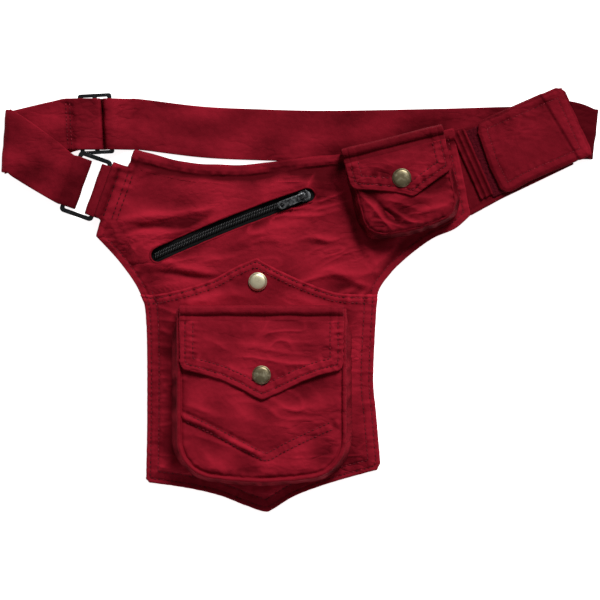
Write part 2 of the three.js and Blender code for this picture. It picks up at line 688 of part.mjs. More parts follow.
const borderStart = 6;
const patchLow = wingTop + gap;
const band = (from, to, half) => [onWing(from, -half), onWing(to, -half), onWing(to, half), onWing(from, half)];
const borderTop = patchLow + borderThick;
add(bag, 'border_strip', prism(band(borderStart, borderStart + borderWidth, wingWidth / 2 - 2), patchLow, borderTop),
  twill('twill border'));
const loopStart = borderStart + borderWidth + gap;
const loopTop = patchLow + loopThick;
add(bag, 'loop_patch', prism(band(loopStart, wingLength - 3, wingWidth / 2 - 2.5), patchLow, loopTop),
  new THREE.MeshStandardMaterial({ color: 0x3a0510, roughness: 1, metalness: 0 }));

const closureLow = loopTop + gap;
const closureStart = closureReach - closureLength / 2;
const closureEnd = closureReach + closureLength / 2;
const closureHalf = closureWidth / 2;
const closureOutline = [
  onWing(closureStart + 1, -closureHalf + 4),
  onWing(closureStart + 7, -closureHalf + 0.6),
  onWing(closureStart + 22, -closureHalf + 2),
  onWing(closureEnd - 4, -closureHalf),
  onWing(closureEnd, -closureHalf + 6),
  onWing(closureEnd, closureHalf - 4),
  onWing(closureEnd - 4, closureHalf),
  onWing(closureStart + 8, closureHalf + 0.4),
  onWing(closureStart, -closureHalf + 22),
];
add(bag, 'closure_tab', prism(closureOutline, closureLow, closureLow + closureThick), twill('twill closure'));

// The strap: closure, right fold, long back leg, slider, left fold, ring, and back to its sewn end
const floorMid = strapThick / 2;
const closureMid = closureLow + closureThick / 2;
const closureSeam = pointOf(onWing(closureEnd + gap, -3));
const rightFold = pointOf(onWing(closureEnd + rightFoldReach, -rightFoldDrop));
const leftX = rightFold.x - strapSpan;
const alongStrap = (row) => ({
  x: leftX + row.along * strapSpan, y: waist + row.rise * strapWidth, z: floorMid, lean: row.lean,
});
const leftFold = { x: leftX, y: waist + 0.195 * strapWidth };
const leftLean = -4.2;
const leftWide = 1.15;
const sliderCentre = { x: leftX + 0.148 * strapSpan, y: waist + 0.535 * strapWidth };
const sliderHalf = sliderLength / 2;
const overSlider = sliderTop + gap + strapThick / 2;
const nearSlider = (dx, z, lean = 3) => ({ x: sliderCentre.x + dx, y: sliderCentre.y, z, lean });
const secondMid = floorMid + strapPitch;
const innerHigh = secondMid + 2 * foldRadius;
const outerHigh = innerHigh + strapPitch;
const barMid = sliderBar / 2;
const wrapZ = (overSlider + secondMid) / 2;
const wrapRadius = (overSlider - secondMid) / 2;
const wrap = [];
for (let s = 0; s <= 6; s += 1) {
  const a = (s / 6) * 180 * degrees;
  wrap.push(nearSlider(barMid + wrapRadius * Math.sin(a), wrapZ + wrapRadius * Math.cos(a)));
}
const diveAt = barMid + wrapRadius + strapThick + 2 * gap;
const onBand = (t, z, lean) => {
  const near = ringAlong(-barAt - 5.7, 0);
  return { x: mix(leftFold.x, near.x, t), y: mix(leftFold.y, near.y, t), z, lean };
};
const ringTurn = pointOf(ringAlong(-5, 0));
const atRing = (s, z) => ({ ...pointOf(ringAlong(s, 0)), z, lean: ringLean });
const leftTurn = (low, high, upwards) => fold(leftFold.x, leftFold.y, leftLean, 180 + leftLean, low, high, upwards, leftWide);
const straps = [
  { ...closureSeam, z: closureMid, lean: wingAngle },
  { x: mix(closureSeam.x, rightFold.x, 0.6), y: mix(closureSeam.y, rightFold.y, 0.6), z: closureMid, lean: 5 },
  ...fold(rightFold.x, rightFold.y, -6.8, -6.8, floorMid, closureMid, false, 0.98),
  ...backLeg.map(alongStrap),
  nearSlider(sliderHalf + 12, floorMid),
  nearSlider(sliderHalf + 5, mix(floorMid, overSlider, 0.5)),
  nearSlider(sliderHalf + 0.5, overSlider),
  nearSlider(sliderHalf - sliderBar, overSlider),
  nearSlider(diveAt + 1.6, mix(floorMid, overSlider, 0.88)),
  nearSlider(diveAt + 0.5, mix(floorMid, overSlider, 0.5)),
  nearSlider(diveAt - 0.6, mix(floorMid, overSlider, 0.12)),
  nearSlider(diveAt - 2.4, floorMid),
  nearSlider(-sliderHalf, floorMid),
  { x: mix(leftX, sliderCentre.x, 0.55), y: mix(leftFold.y, sliderCentre.y, 0.75), z: floorMid, lean: 3 },
  ...leftTurn(floorMid, outerHigh, true),
  onBand(0.3, outerHigh - 0.2, -20),
  onBand(0.65, outerHigh - 0.3, -24),
  onBand(1, outerHigh - 0.4, ringLean),
  atRing(-barAt - 2.1, overRing),
  atRing(-barAt + 2, overRing),
  ...fold(ringTurn.x, ringTurn.y, ringLean, ringLean, underRing, overRing, false, 1),
  atRing(-barAt + 2, underRing),
  atRing(-barAt - 2.3, underRing),
  onBand(1, innerHigh - 1, ringLean),
  onBand(0.65, innerHigh - 0.4, -24),
  onBand(0.3, innerHigh - 0.2, -20),
  ...leftTurn(secondMid, innerHigh, false),
  { x: mix(leftX, sliderCentre.x, 0.55), y: mix(leftFold.y, sliderCentre.y, 0.75), z: secondMid, lean: 3 },
  nearSlider(-sliderHalf - 10, secondMid),
  nearSlider(-sliderHalf - 5, mix(secondMid, overSlider, 0.5)),
  nearSlider(-sliderHalf - 0.5, overSlider),
  ...wrap,
  nearSlider(-sliderHalf - 3, secondMid),
];
add(bag, 'strap', ribbon(straps, strapWidth, strapThick), twill('twill strap'));

// The three-bar slider
const slotLength = strapWidth + 2 * sliderPlay;
const slotWidth = (sliderLength - 3 * sliderBar) / 2;
const sliderShape = roundedFrame(slotLength + 2 * sliderRail, sliderLength, 2);
for (const side of [-1, 1]) {
  const hole = roundedFrame(slotLength, slotWidth, 0.6).getPoints(3);
  const shift = side * (slotWidth + sliderBar) / 2;
  sliderShape.holes.push(new THREE.Path(hole.map((p) => new THREE.Vector2(p.x + shift, p.y))));
}
const sliderMesh = add(bag, 'strap_slider', plate(sliderShape, sliderThick, 3), blackMetal);
sliderMesh.position.set(sliderCentre.x, sliderCentre.y, sliderBottom);
sliderMesh.rotation.z = 3 * degrees;

// The origin is the middle of the footprint, on the surface it lies on
const bounds = new THREE.Box3().setFromObject(bag);
bag.position.set(-(bounds.min.x + bounds.max.x) / 2, -(bounds.min.y + bounds.max.y) / 2, -bounds.min.z);

export default bag;
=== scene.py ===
"""A red cotton belt bag lying flat on its back, seen from straight above, with its strap loop spread out."""
import math
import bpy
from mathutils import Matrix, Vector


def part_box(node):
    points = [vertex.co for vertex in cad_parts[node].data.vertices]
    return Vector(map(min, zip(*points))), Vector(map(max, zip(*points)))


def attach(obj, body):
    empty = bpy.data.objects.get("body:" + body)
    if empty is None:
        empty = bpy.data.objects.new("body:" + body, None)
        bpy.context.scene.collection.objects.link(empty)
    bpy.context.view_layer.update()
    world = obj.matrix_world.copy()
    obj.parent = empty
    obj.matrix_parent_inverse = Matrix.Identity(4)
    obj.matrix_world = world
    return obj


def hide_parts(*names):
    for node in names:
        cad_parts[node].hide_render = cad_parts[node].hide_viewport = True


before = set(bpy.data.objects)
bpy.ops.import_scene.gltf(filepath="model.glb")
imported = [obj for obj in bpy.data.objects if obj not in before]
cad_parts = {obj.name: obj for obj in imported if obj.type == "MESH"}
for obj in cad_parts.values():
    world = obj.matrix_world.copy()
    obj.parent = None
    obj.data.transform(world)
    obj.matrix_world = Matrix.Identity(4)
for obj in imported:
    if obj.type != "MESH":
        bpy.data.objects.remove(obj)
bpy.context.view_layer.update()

from types import SimpleNamespace

import bmesh
import bpy
import numpy as np
from mathutils import Vector

mm = 0.001

# The table, the light and the camera. The bag lies on a white table and is photographed from straight
# above with a long lens, under a large soft light on the waist side and a pale room all round.
view_width = 444 * mm
view_middle = (0, -0.3 * mm)
lens_length = 200
sensor_width = 36
table_reach = 3
table_drop = 0.6 * mm
key_place = (0.95, 2.6, 2.3)
key_size = 1.2
key_power = 156
room_strength = 0.2
table_glow = 0.88
scene = bpy.context.scene
scene.view_settings.view_transform = "Standard"


class Wire:
    """One output of a material's nodes. Arithmetic on it adds Math nodes to the same tree."""

    def __init__(self, tree, socket=None):
        self.tree = tree
        self.socket = socket

    def node(self, kind, settings, sockets, output=0):
        """Adds a node: its settings are set first, then its sockets get values or links."""
        made = self.tree.nodes.new(kind)
        for key, value in settings.items():
            if key == "stops":
                for stop, (place, colour) in zip(made.color_ramp.elements, value):
                    stop.position = place
                    stop.color = (*colour, 1)
            else:
                setattr(made, key, value)
        for key, value in sockets.items():
            if isinstance(value, Wire):
                self.tree.links.new(value.socket, made.inputs[key])
            else:
                made.inputs[key].default_value = value
        return Wire(self.tree, made.outputs[output])

    def maths(self, operation, *values):
        """One Math node on values, each a number or a Wire."""
        return self.node("ShaderNodeMath", {"operation": operation}, dict(enumerate(values)))

    def __add__(self, other):
        return self.maths("ADD", self, other)

    def __sub__(self, other):
        return self.maths("SUBTRACT", self, other)

    def __rsub__(self, other):
        return self.maths("SUBTRACT", other, self)

    def __mul__(self, other):
        return self.maths("MULTIPLY", self, other)

    def __pow__(self, other):
        return self.maths("POWER", self, other)

    __radd__ = __add__
    __rmul__ = __mul__

    def sine(self):
        """The sine of this value, which is in radians."""
        return self.maths("SINE", self)

    def size(self):
        """This value without its sign."""
        return self.maths("ABSOLUTE", self)

    def scaled(self, *factors):
        """A vector with each coordinate times its own factor."""
        return self.node("ShaderNodeVectorMath", {"operation": "MULTIPLY"}, {0: self, 1: factors})

    def between(self, low, high):
        """This value as a share from low to high, held to 0 and 1."""
        return self.node("ShaderNodeMapRange", {}, {0: self, 1: low, 2: high})

    def axis(self, name):
        """One coordinate of a vector."""
        return self.node("ShaderNodeSeparateXYZ", {}, {0: self}, output="XYZ".index(name))

    def noise(self, scale, detail=2.0, roughness=0.5):
        """Fractal noise from 0 to 1 at this place, with so many lumps to the metre."""
        return self.node("ShaderNodeTexNoise", {}, {"Vector": self, "Scale": scale, "Detail": detail,
                                                     "Roughness": roughness})

    def mixed(self, low, high):
        """The colour this far from low to high."""
        kind = {"data_type": "RGBA"}
        return self.node("ShaderNodeMix", kind, {0: self, 6: low, 7: high}, output=2)


def painted(name, build):
    """A material whose Principled shader gets what build(place, wear) returns: a dict of sockets, with
    the key height for a bump height in metres. place is the Object coordinate."""
    material = bpy.data.materials.new(name)
    material.use_nodes = True
    tree = material.node_tree
    shader = tree.nodes["Principled BSDF"]
    start = Wire(tree)
    place = start.node("ShaderNodeTexCoord", {}, {}, output=3)
    # Each point's colour value: rubbed wear, the piece's tone, and painted shade and painted light.
    wear_and_shade = start.node("ShaderNodeAttribute", {"attribute_name": "wear_and_shade"}, {}, output=2)
    sockets = build(place, wear_and_shade)
    height = sockets.pop("height", None)
    if height is not None:
        bump = {"Distance": 1.0, "Strength": 1.0, "Height": height}
        sockets["Normal"] = start.node("ShaderNodeBump", {}, bump)
    for key, value in sockets.items():
        if isinstance(value, Wire):
            tree.links.new(value.socket, shader.inputs[key])
        else:
            shader.inputs[key].default_value = value
    return material


def made(name, points, faces, material, smooth_faces=True):
    """A mesh object at the origin. Its faces are turned round if their signed volume is negative."""
    mesh = bpy.data.meshes.new(name)
    points = np.asarray(points, float).reshape(-1, 3)
    corner = points[np.array([face[:3] for face in faces])]
    last = points[np.array([[face[0], face[-2], face[-1]] for face in faces])]
    volume = sum(np.einsum("ij,ij->i", np.cross(t[:, 0], t[:, 1]), t[:, 2]).sum() for t in (corner, last))
    faces = [list(face)[::-1] for face in faces] if volume < 0 else [list(face) for face in faces]
    mesh.from_pydata(points.tolist(), [], faces)
    if smooth_faces:
        mesh.shade_smooth()
    mesh.materials.append(material)
    piece = bpy.data.objects.new(name, mesh)
    scene.collection.objects.link(piece)
    return piece


def white_table(place, wear_and_shade):
    """A white table top, faintly clouded, that glows as a lit ground does."""
    cloud = place.noise(6.0, 3.0)
    return {
        "Base Color": cloud.mixed((0.93, 0.93, 0.935, 1), (0.95, 0.95, 0.945, 1)),
        "Roughness": 0.8,
        "Emission Color": cloud.mixed((0.98, 0.98, 0.98, 1), (1, 1, 1, 1)),
        "Emission Strength": table_glow,
    }


reach = np.array([[-1, -1], [1, -1], [1, 1], [-1, 1]]) * table_reach
table = made("table", np.column_stack([reach, np.full(4, -table_drop)]), [[0, 1, 2, 3]],
             painted("white_table", white_table))

key = bpy.data.objects.new("key_light", bpy.data.lights.new("key_light", "AREA"))
key.data.size = key_size
key.data.energy = key_power
key.location = key_place
key.rotation_euler = (-Vector(key_place)).to_track_quat("-Z", "Y").to_euler()
scene.collection.objects.link(key)
scene.world = bpy.data.worlds.new("pale_room")
scene.world.use_nodes = True
scene.world.node_tree.nodes["Background"].inputs["Color"].default_value = (1, 1, 1, 1)
scene.world.node_tree.nodes["Background"].inputs["Strength"].default_value = room_strength

camera = bpy.data.objects.new("camera", bpy.data.cameras.new("camera"))
camera.data.lens = lens_length
camera.data.sensor_width = sensor_width
camera.location = (*view_middle, view_width * lens_length / sensor_width)
scene.collection.objects.link(camera)
scene.camera = camera

# The back panel. One piece of red cotton twill cut to the pouch's outline: eared at the waist, drawn in
# below the zip and pointed at the foot. Its edge is turned and sewn to the front all round.
cloth = 1.5 * mm
ply_gap = 0.3 * mm
main_room = 4.7 * mm
patch_room = 1.6 * mm
hem_fade = 22 * mm
strap_width = 38 * mm
strap_thick = 1.6 * mm
strap_pitch = strap_thick + ply_gap
tab_width = 37 * mm
tab_room = 2 * strap_pitch + ply_gap
# The twill's darkest and palest reds; the tone between them carries wear, painted shade and painted light.
red_deep = (0.07, 0.0012, 0.004, 1)
red_pale = (0.37, 0.012, 0.028, 1)

# across and up as shares of the pouch's width and height, and 1 where a round stretch ends
pouch_rows = [
    (0.104, 1.0, 1), (0.123, 0.994, 1), (0.241, 0.965, 0), (0.32, 0.958, 0), (0.413, 0.959, 0),
    (0.506, 0.972, 0), (0.664, 0.989, 0), (0.762, 1.011, 0), (0.957, 1.059, 1), (1.005, 0.824, 1),
    (0.962, 0.785, 0), (0.906, 0.76, 0), (0.86, 0.728, 0), (0.816, 0.69, 0), (0.787, 0.659, 0),
    (0.756, 0.612, 0), (0.749, 0.55, 0), (0.741, 0.369, 0), (0.749, 0.265, 0), (0.76, 0.13, 1),
    (0.752, 0.115, 1), (0.636, 0.082, 0), (0.536, 0.045, 0), (0.476, 0.008, 0), (0.452, 0.0, 0),
    (0.398, 0.018, 0), (0.328, 0.046, 0), (0.237, 0.067, 0), (0.14, 0.081, 1), (0.134, 0.089, 1),
    (0.137, 0.265, 0), (0.135, 0.525, 0), (0.117, 0.606, 0), (0.066, 0.687, 0), (0.0, 0.763, 1),
    (0.012, 0.807, 1), (0.085, 0.955, 1),
]
back_low, back_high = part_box("body_back")
pouch_width = (back_high.x - back_low.x) / max(row[0] for row in pouch_rows)
pouch_height = (back_high.y - back_low.y) / max(row[1] for row in pouch_rows)
waist = back_low.y + pouch_height


def on_pouch(across, up):
    """Shares of the pouch's width and height as a place on the table."""
    x = back_low.x + np.asarray(across) * pouch_width
    y = back_low.y + np.asarray(up) * pouch_height
    return np.stack([x, y], -1)


def smooth(low, high, value):
    """0 up to low, 1 from high on, and 3t^2 - 2t^3 of the share t between them."""
    t = np.clip((value - low) / (high - low), 0, 1)
    return t * t * (3 - 2 * t)


def curve_through(points, count):
    """Catmull-Rom: each stretch is the cubic whose end slopes are half the step between its neighbours."""
    points = np.asarray(points, float)
    t = np.linspace(0, len(points) - 1, count)
    i = np.minimum(t.astype(int), len(points) - 2)
    u = (t - i)[:, None]
    before, a, b, after = [points[np.clip(i + k, 0, len(points) - 1)] for k in (-1, 0, 1, 2)]
    away = u**3 - 2 * u**2 + u
    home = u**3 - u**2
    return a + (3 * u**2 - 2 * u**3) * (b - a) + away * (b - before) / 2 + home * (after - a) / 2


def drawn(rows):
    """A line through rows: straight between two corner rows, a spline through the rows between corners."""
    corners = [i for i, row in enumerate(rows) if row[2]]
    places = on_pouch([row[0] for row in rows], [row[1] for row in rows])
    parts = []
    for a, b in zip(corners, corners[1:]):
        count = 2 if b == a + 1 else 8 * (b - a)
        parts.append(curve_through(places[a:b + 1], count)[:-1])
    return np.concatenate([*parts, places[-1:]])


def crowded(count, crowd):
    """Shares t from 0 to 1, drawn closer to both ends: t less crowd * sin(2 pi t) / (2 pi)."""
    share = np.linspace(0, 1, count)
    return share - crowd * np.sin(2 * np.pi * share) / (2 * np.pi)


def run_of(path):
    """How far along a path each of its points lies: the running sum of its steps."""
    return np.concatenate([[0], np.cumsum(np.linalg.norm(np.diff(path, axis=0), axis=1))])


def evenly(path, count, crowd=0.0):
    """Points along a path at equal steps of length, drawn closer to its ends by the share crowd."""
    run = run_of(path)
    at = crowded(count, crowd) * run[-1]
    return np.stack([np.interp(at, run, path[:, k]) for k in range(path.shape[1])], -1)


def stretched(bottom, right, top, left, columns, rows, crowd=0.0):
    """A grid inside four sides (a Coons patch): the blends of opposite sides both ways, less the blend of
    the four corners. Bottom and top run to the right, left and right run upwards."""
    b, t = evenly(bottom, columns, crowd), evenly(top, columns, crowd)
    l, r = evenly(left, rows, crowd)[:, None], evenly(right, rows, crowd)[:, None]
    u, v = crowded(columns, crowd)[None, :, None], crowded(rows, crowd)[:, None, None]
    corners = (1 - v) * ((1 - u) * b[0] + u * b[-1]) + v * ((1 - u) * t[0] + u * t[-1])
    return (1 - v) * b[None] + v * t[None] + (1 - u) * l + u * r - corners


def beside(path, x, y):
    """For each place, its distance from a path and how far along the path its nearest point lies."""
    best = np.full(np.shape(x), np.inf)
    along = np.zeros(np.shape(x))
    start = 0.0
    for a, b in zip(path, path[1:]):
        step = b - a
        size = math.hypot(*step)
        t = np.clip(((x - a[0]) * step[0] + (y - a[1]) * step[1]) / size**2, 0, 1)
        away = np.hypot(x - a[0] - t * step[0], y - a[1] - t * step[1])
        closer = away < best
        best = np.where(closer, away, best)
        along = np.where(closer, start + t * size, along)
        start += size
    return best, along


def ripple(x, y, size, seed):
    """A smooth random field of about -1 to 1: the sum of sixteen plane waves near one length."""
    rng = np.random.default_rng(seed)
    total = np.zeros(np.broadcast_shapes(np.shape(x), np.shape(y)))
    for turn, length, phase in zip(*rng.uniform([[0], [0.7], [0]], [[6.283], [1.5], [6.283]], (3, 16))):
        total += np.sin(6.283 / (length * size) * (x * math.cos(turn) + y * math.sin(turn)) + phase)
    return total / 4


def crumple(x, y, size, seed):
    """Sharp-crested folds along the zero lines of a bent random field: exp(-(|field| / 0.34)^1.25), strong
    in some places and faint in others."""
    bend = 0.4 * size
    bent_x = x + bend * ripple(x, y, 2 * size, seed + 1)
    bent_y = y + bend * ripple(x, y, 2 * size, seed + 2)
    strength = smooth(-0.5, 1.0, ripple(x, y, 3 * size, seed + 3))
    return strength * np.exp(-((np.abs(ripple(bent_x, bent_y, size, seed)) / 0.34) ** 1.25))


def slack(x, y, soft, creased, fine, seed, steep=1.2):
    """Loose cloth: a ripple, long crumples and fine ones, each a height and a size in millimetres."""
    rise = soft[0] * mm * ripple(x, y, soft[1] * mm, seed)
    rise = rise + creased[0] * mm * crumple(0.6 * x, steep * y, creased[1] * mm, seed + 1)
    return rise + fine[0] * mm * crumple(0.6 * x, 1.3 * y, fine[1] * mm, seed + 2)


def bell(t):
    """A bell curve, exp(-t^2)."""
    return np.exp(-(t**2))


def turned(x, y, angle):
    """A place turned about the origin by an angle: (x cos - y sin, x sin + y cos)."""
    c, s = math.cos(angle), math.sin(angle)
    return x * c - y * s, x * s + y * c


def folds(x, y, rows, place):
    """The sum of long narrow swellings. Each row has its middle in shares, which place() puts on the cloth,
    its turn in degrees, and its half length, half width and height in millimetres. Across the fold the
    height falls off as exp(-|v|^1.4)."""
    total = np.zeros(np.shape(x))
    for shares, turn, long, wide, high in rows:
        middle = place(*shares)
        u, v = turned(x - middle[0], y - middle[1], -math.radians(turn))
        u, v = u / (long * mm), v / (wide * mm)
        total += high * mm * np.exp(-(u**2) - np.abs(v + 0.6 * np.sin(2.2 * u)) ** 1.4)
    return total


def stitch_row(away, along, at, deep, pull, seed):
    """One row of stitches at a distance from an edge: a groove as a bell curve, and puckers across it."""
    across = away - at
    pucker = ripple(along, 0.4 * across, 5.5 * mm, seed) * bell(across / (3.6 * mm))
    return pull * pucker - deep * bell(across / (0.8 * mm))


def with_wear_and_shade(piece, values):
    """The piece with one value a point, of wear and painted shade, which its material reads."""
    wear_and_shade = piece.data.attributes.new("wear_and_shade", "FLOAT", "POINT")
    wear_and_shade.data.foreach_set("value", np.ravel(values).astype(np.float32))
    return piece


def shell(name, front, back, material, wear_and_shade=None, rounds=3, bulge=0.5):
    """Two grids of points closed along their rim: the rim's rows are the two borders mixed, pushed out of
    the sheet by a half sine, so that the edge is round. The attribute wear goes to the front's points."""
    rows, columns = front.shape[:2]
    index = np.arange(rows * columns).reshape(rows, columns)
    border = np.concatenate([index[0, :-1], index[:-1, -1], index[-1, :0:-1], index[:0:-1, 0]])
    r, c = np.divmod(border, columns)
    inner = index[np.clip(r, 1, rows - 2), np.clip(c, 1, columns - 2)]
    flat_front, flat_back = front.reshape(-1, 3), back.reshape(-1, 3)
    out = flat_front[border] - flat_front[inner]
    out /= np.maximum(np.linalg.norm(out, axis=1), 1e-9)[:, None]
    thick = np.linalg.norm(flat_front[border] - flat_back[border], axis=1)[:, None]
    share = (np.arange(1, rounds + 1) / (rounds + 1))[:, None, None]
    rims = (1 - share) * flat_front[border] + share * flat_back[border]
    rims = rims + np.sin(np.pi * share) * bulge * thick * out
    points = np.concatenate([flat_front, flat_back, rims.reshape(-1, 3)])
    count, ring = rows * columns, len(border)
    quad = np.stack([index[:-1, :-1], index[:-1, 1:], index[1:, 1:], index[1:, :-1]], -1).reshape(-1, 4)
    loops = [border, *(2 * count + k * ring + np.arange(ring) for k in range(rounds)), border + count]
    sides = [np.stack([a, b, np.roll(b, -1), np.roll(a, -1)], -1) for a, b in zip(loops, loops[1:])]
    faces = np.concatenate([quad, quad[:, ::-1] + count, *sides])
    values = np.zeros(len(points))
    if wear_and_shade is not None:
        values[:count] = wear_and_shade.ravel()
        values[2 * count:] = np.tile(wear_and_shade.ravel()[border], rounds)
    return with_wear_and_shade(made(name, points, faces.tolist(), material), values)


def twill_weave(place, wear_and_shade):
    """Fine diagonal ribs in two scales of mottling: pale where the cloth stands up and rubs, with painted
    shade deep in its grooves and along the crease lines of long furrows. Slow crumpling of some millimetres
    lies over the ribs."""
    ribs = ((place.axis("X") + place.axis("Y") + place.axis("Z")) * (2 * math.pi / (1.15 * mm))).sine()
    slub = place.noise(1400.0, 2.0)
    cloud = place.noise(28.0, 3.0)
    fine = place.noise(200.0, 4.0, 0.55)
    long_way = place.scaled(0.6, 1.3, 1.0)
    # Furrows: crease lines, both a bump and a painted shade in the colour.
    furrow = ((long_way.noise(38.0, 3.0, 0.6) - 0.5) * 5.0).size().between(0.0, 1.0)
    furrow = 1.0 - (1.0 - furrow) ** 3.0 * long_way.noise(13.0, 2.0).between(0.42, 0.62)
    tone = 0.30 + wear_and_shade * 0.42 + furrow * 0.12 + (cloud - 0.5) * 0.3
    tone = tone + (fine - 0.5) * 0.24 + (slub - 0.5) * 0.18
    height = ribs * (0.018 * mm) + slub * (0.08 * mm) + fine * (0.38 * mm)
    return {
        "Base Color": tone.between(0.0, 1.0).mixed(red_deep, red_pale),
        "Roughness": 0.86 - 0.08 * cloud,
        "IOR": 1.12,
        "height": height + place.noise(90.0, 2.0, 0.5) * (1.2 * mm) + furrow * (0.6 * mm),
    }


red_twill = painted("red_twill", twill_weave)


def outline_of(bottom, right, top, left):
    """The closed outline of four sides, up the left one and over the top."""
    return np.concatenate([left, top[1:], right[::-1][1:], bottom[::-1][1:]])


top_side = drawn(pouch_rows[0:9])
right_side = drawn(pouch_rows[8:21])[::-1]
bottom_side = drawn(pouch_rows[20:30])[::-1]
left_side = drawn(pouch_rows[29:] + pouch_rows[:1])
pouch_edge = outline_of(bottom_side, right_side, top_side, left_side)


def strap_lift(x, y):
    """The waist edge lies on the strap's back leg at the right: it rises by one strap and a gap."""
    top = waist - 0.25 * strap_width - 11 * mm
    at_right = smooth(back_low.x + 0.24 * pouch_width, back_low.x + 0.38 * pouch_width, x)
    return strap_pitch * smooth(top - 14 * mm, top, y) * at_right


def sheet_of(grid, z):
    """A grid of places with a height each."""
    return np.concatenate([grid, z[..., None]], -1)


def fastened(piece, node=None, body="bag"):
    """Puts a piece on its body, in the place of the node it replaces, if any."""
    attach(piece, body)
    if node:
        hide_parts(node)
    return piece


back_grid = stretched(bottom_side, right_side, top_side, left_side, columns=110, rows=110, crowd=0.3)
lift = strap_lift(back_grid[..., 0], back_grid[..., 1])
back_panel = shell("back_panel", sheet_of(back_grid, lift + cloth), sheet_of(back_grid, lift), red_twill)
fastened(back_panel, "body_back")

# The front panel. The same outline in the same twill, standing a few millimetres off the back in the middle,
# with a faced waist edge, soft table creases and one row of stitches inside its turned edge.
facing = 7.5 * mm
full_tone = 1.7 * mm
least_ply = 0.9 * mm
# Painted shade on the front's colour: along the waist edge, and on the lip beside the ring's tab.
waist_painted_shade = 1.15
tab_edge_painted_shade = 0.8
edge_row = 4.4 * mm
ring_seat = on_pouch(0.048, 0.875)
ring_lean = math.radians(-19.5)
ring_reach = 22.5 * mm
tab_lip_rise = 5 * mm
tab_rows = (19.5 * mm, 26 * mm, 29.8 * mm)


def middle_of(node):
    """The middle of a node's box, seen from above."""
    low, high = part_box(node)
    return np.array([(low.x + high.x) / 2, (low.y + high.y) / 2])


ring_centre = middle_of("rect_ring")


def on_ring(s, w=0.0):
    """A place s from the ring's middle along the ring tab, and w to its left."""
    return ring_centre + np.array(turned(s, w, ring_lean))


def in_ring(x, y):
    """The reverse of on_ring: how far a place lies along the ring tab, and to its left."""
    return turned(x - ring_centre[0], y - ring_centre[1], -ring_lean)


# The front's left side, whose lip reaches over the ring's tab; the columns are those of pouch_rows.
tab_lip = [(-0.003, 0.822, 1), (0.048, 0.97, 1), (0.085, 0.955, 1)]
front_left = drawn(pouch_rows[29:36] + tab_lip + pouch_rows[:1])
front_edge = outline_of(bottom_side, right_side, top_side, front_left)

# The front's folds, as folds() takes them, with their middles in shares of the pouch.
front_folds = [
    ((0.178, 0.820), 11, 30, 4.2, 2.8), ((0.186, 0.797), 12, 28, 2.4, -3.6), ((0.19, 0.774), 12, 26, 4, 1.5),
    ((0.26, 0.835), 16, 16, 3, 1.4), ((0.12, 0.79), 2, 12, 2.2, -1.5), ((0.2, 0.955), 10, 17, 4, 1.2),
    ((0.201, 0.942), 11, 16, 2, -1.3), ((0.24, 0.674), -3, 24, 3.6, 2.2), ((0.241, 0.654), -3, 21, 2.2, -3.0),
    ((0.33, 0.70), 20, 20, 3, 1.0), ((0.095, 0.715), -72, 13, 3, 1.2), ((0.6, 0.757), 4, 12, 3, 1.7),
    ((0.6, 0.742), 4, 11, 2, -1.7), ((0.644, 0.662), 0, 11, 3, 1.2), ((0.70, 0.634), -6, 15, 3, 1.7),
    ((0.705, 0.618), -8, 13, 2, -1.6), ((0.66, 0.64), -3, 9, 2, -1.2), ((0.69, 0.79), -66, 26, 2.6, -1.7),
    ((0.71, 0.8), -68, 28, 4.5, 1.9), ((0.77, 0.70), 58, 18, 3.4, 1.8), ((0.79, 0.69), 58, 15, 2.2, -1.5),
    ((0.35, 0.885), 12, 36, 9, 0.9), ((0.43, 0.80), 20, 30, 3, -0.9), ((0.47, 0.78), 24, 26, 4, 1.0),
    ((0.45, 0.93), 4, 50, 4, -0.7), ((0.53, 0.73), -30, 30, 9, 0.8), ((0.33, 0.69), 22, 26, 6, 0.9),
    ((0.86, 0.78), 28, 22, 4, 1.3), ((0.9, 0.8), 35, 18, 2.5, -1.0), ((0.05, 0.77), -46, 15, 3, 1.0),
    ((0.28, 0.92), -10, 22, 4, 0.9), ((0.58, 0.9), -14, 26, 5, 0.8),
]


def front_height(x, y):
    """The front panel's smooth top: two plies and a gap at its edge, the main room above them inside."""
    away, _ = beside(pouch_edge, x, y)
    room = main_room * smooth(0, hem_fade, away)
    tab = tab_room * smooth(1.3 * tab_width, 0.8 * tab_width, np.hypot(x - ring_seat[0], y - ring_seat[1]))
    s, w = in_ring(x, y)
    lip = tab_lip_rise * smooth(ring_reach, ring_reach - 8 * mm, s) * smooth(24 * mm, 20 * mm, np.abs(w))
    return strap_lift(x, y) + 2 * cloth + ply_gap + np.maximum(room, tab) + lip


def front_relief(x, y):
    """Folds and creases, fading at the edge, plus the raised facing, its groove, and the stitched hem."""
    away, along = beside(front_edge, x, y)
    below, _ = beside(top_side, x, y)
    soft = 0.9 * mm * ripple(x, y, 45 * mm, 11)
    soft += 1.9 * mm * crumple(0.6 * x, 1.2 * y - 0.35 * x, 30 * mm, 12)
    soft += 0.6 * mm * crumple(0.6 * x, 1.3 * y - 0.2 * x, 16 * mm, 13)
    soft += folds(x, y, front_folds, on_pouch)
    step = smooth(facing, facing - 3 * mm, below) - bell((below - facing - 0.8 * mm) / (1.7 * mm))
    waistband = 1.1 * mm * (1 + 0.5 * ripple(x, y, 30 * mm, 16)) * step
    hem = 0.5 * mm * smooth(edge_row + 1 * mm, edge_row - 1.5 * mm, away)
    row = smooth(0, 6 * mm, below) * stitch_row(away, along, edge_row, 0.4 * mm, 0.35 * mm, 14)
    s, w = in_ring(x, y)
    near_tab = smooth(24 * mm, 18 * mm, np.abs(w))
    tab_seam = sum(stitch_row(s, w, at, 0.45 * mm, 0.25 * mm, 17) for at in tab_rows) * near_tab
    return smooth(2 * mm, 14 * mm, away) * soft + waistband + hem + row + tab_seam


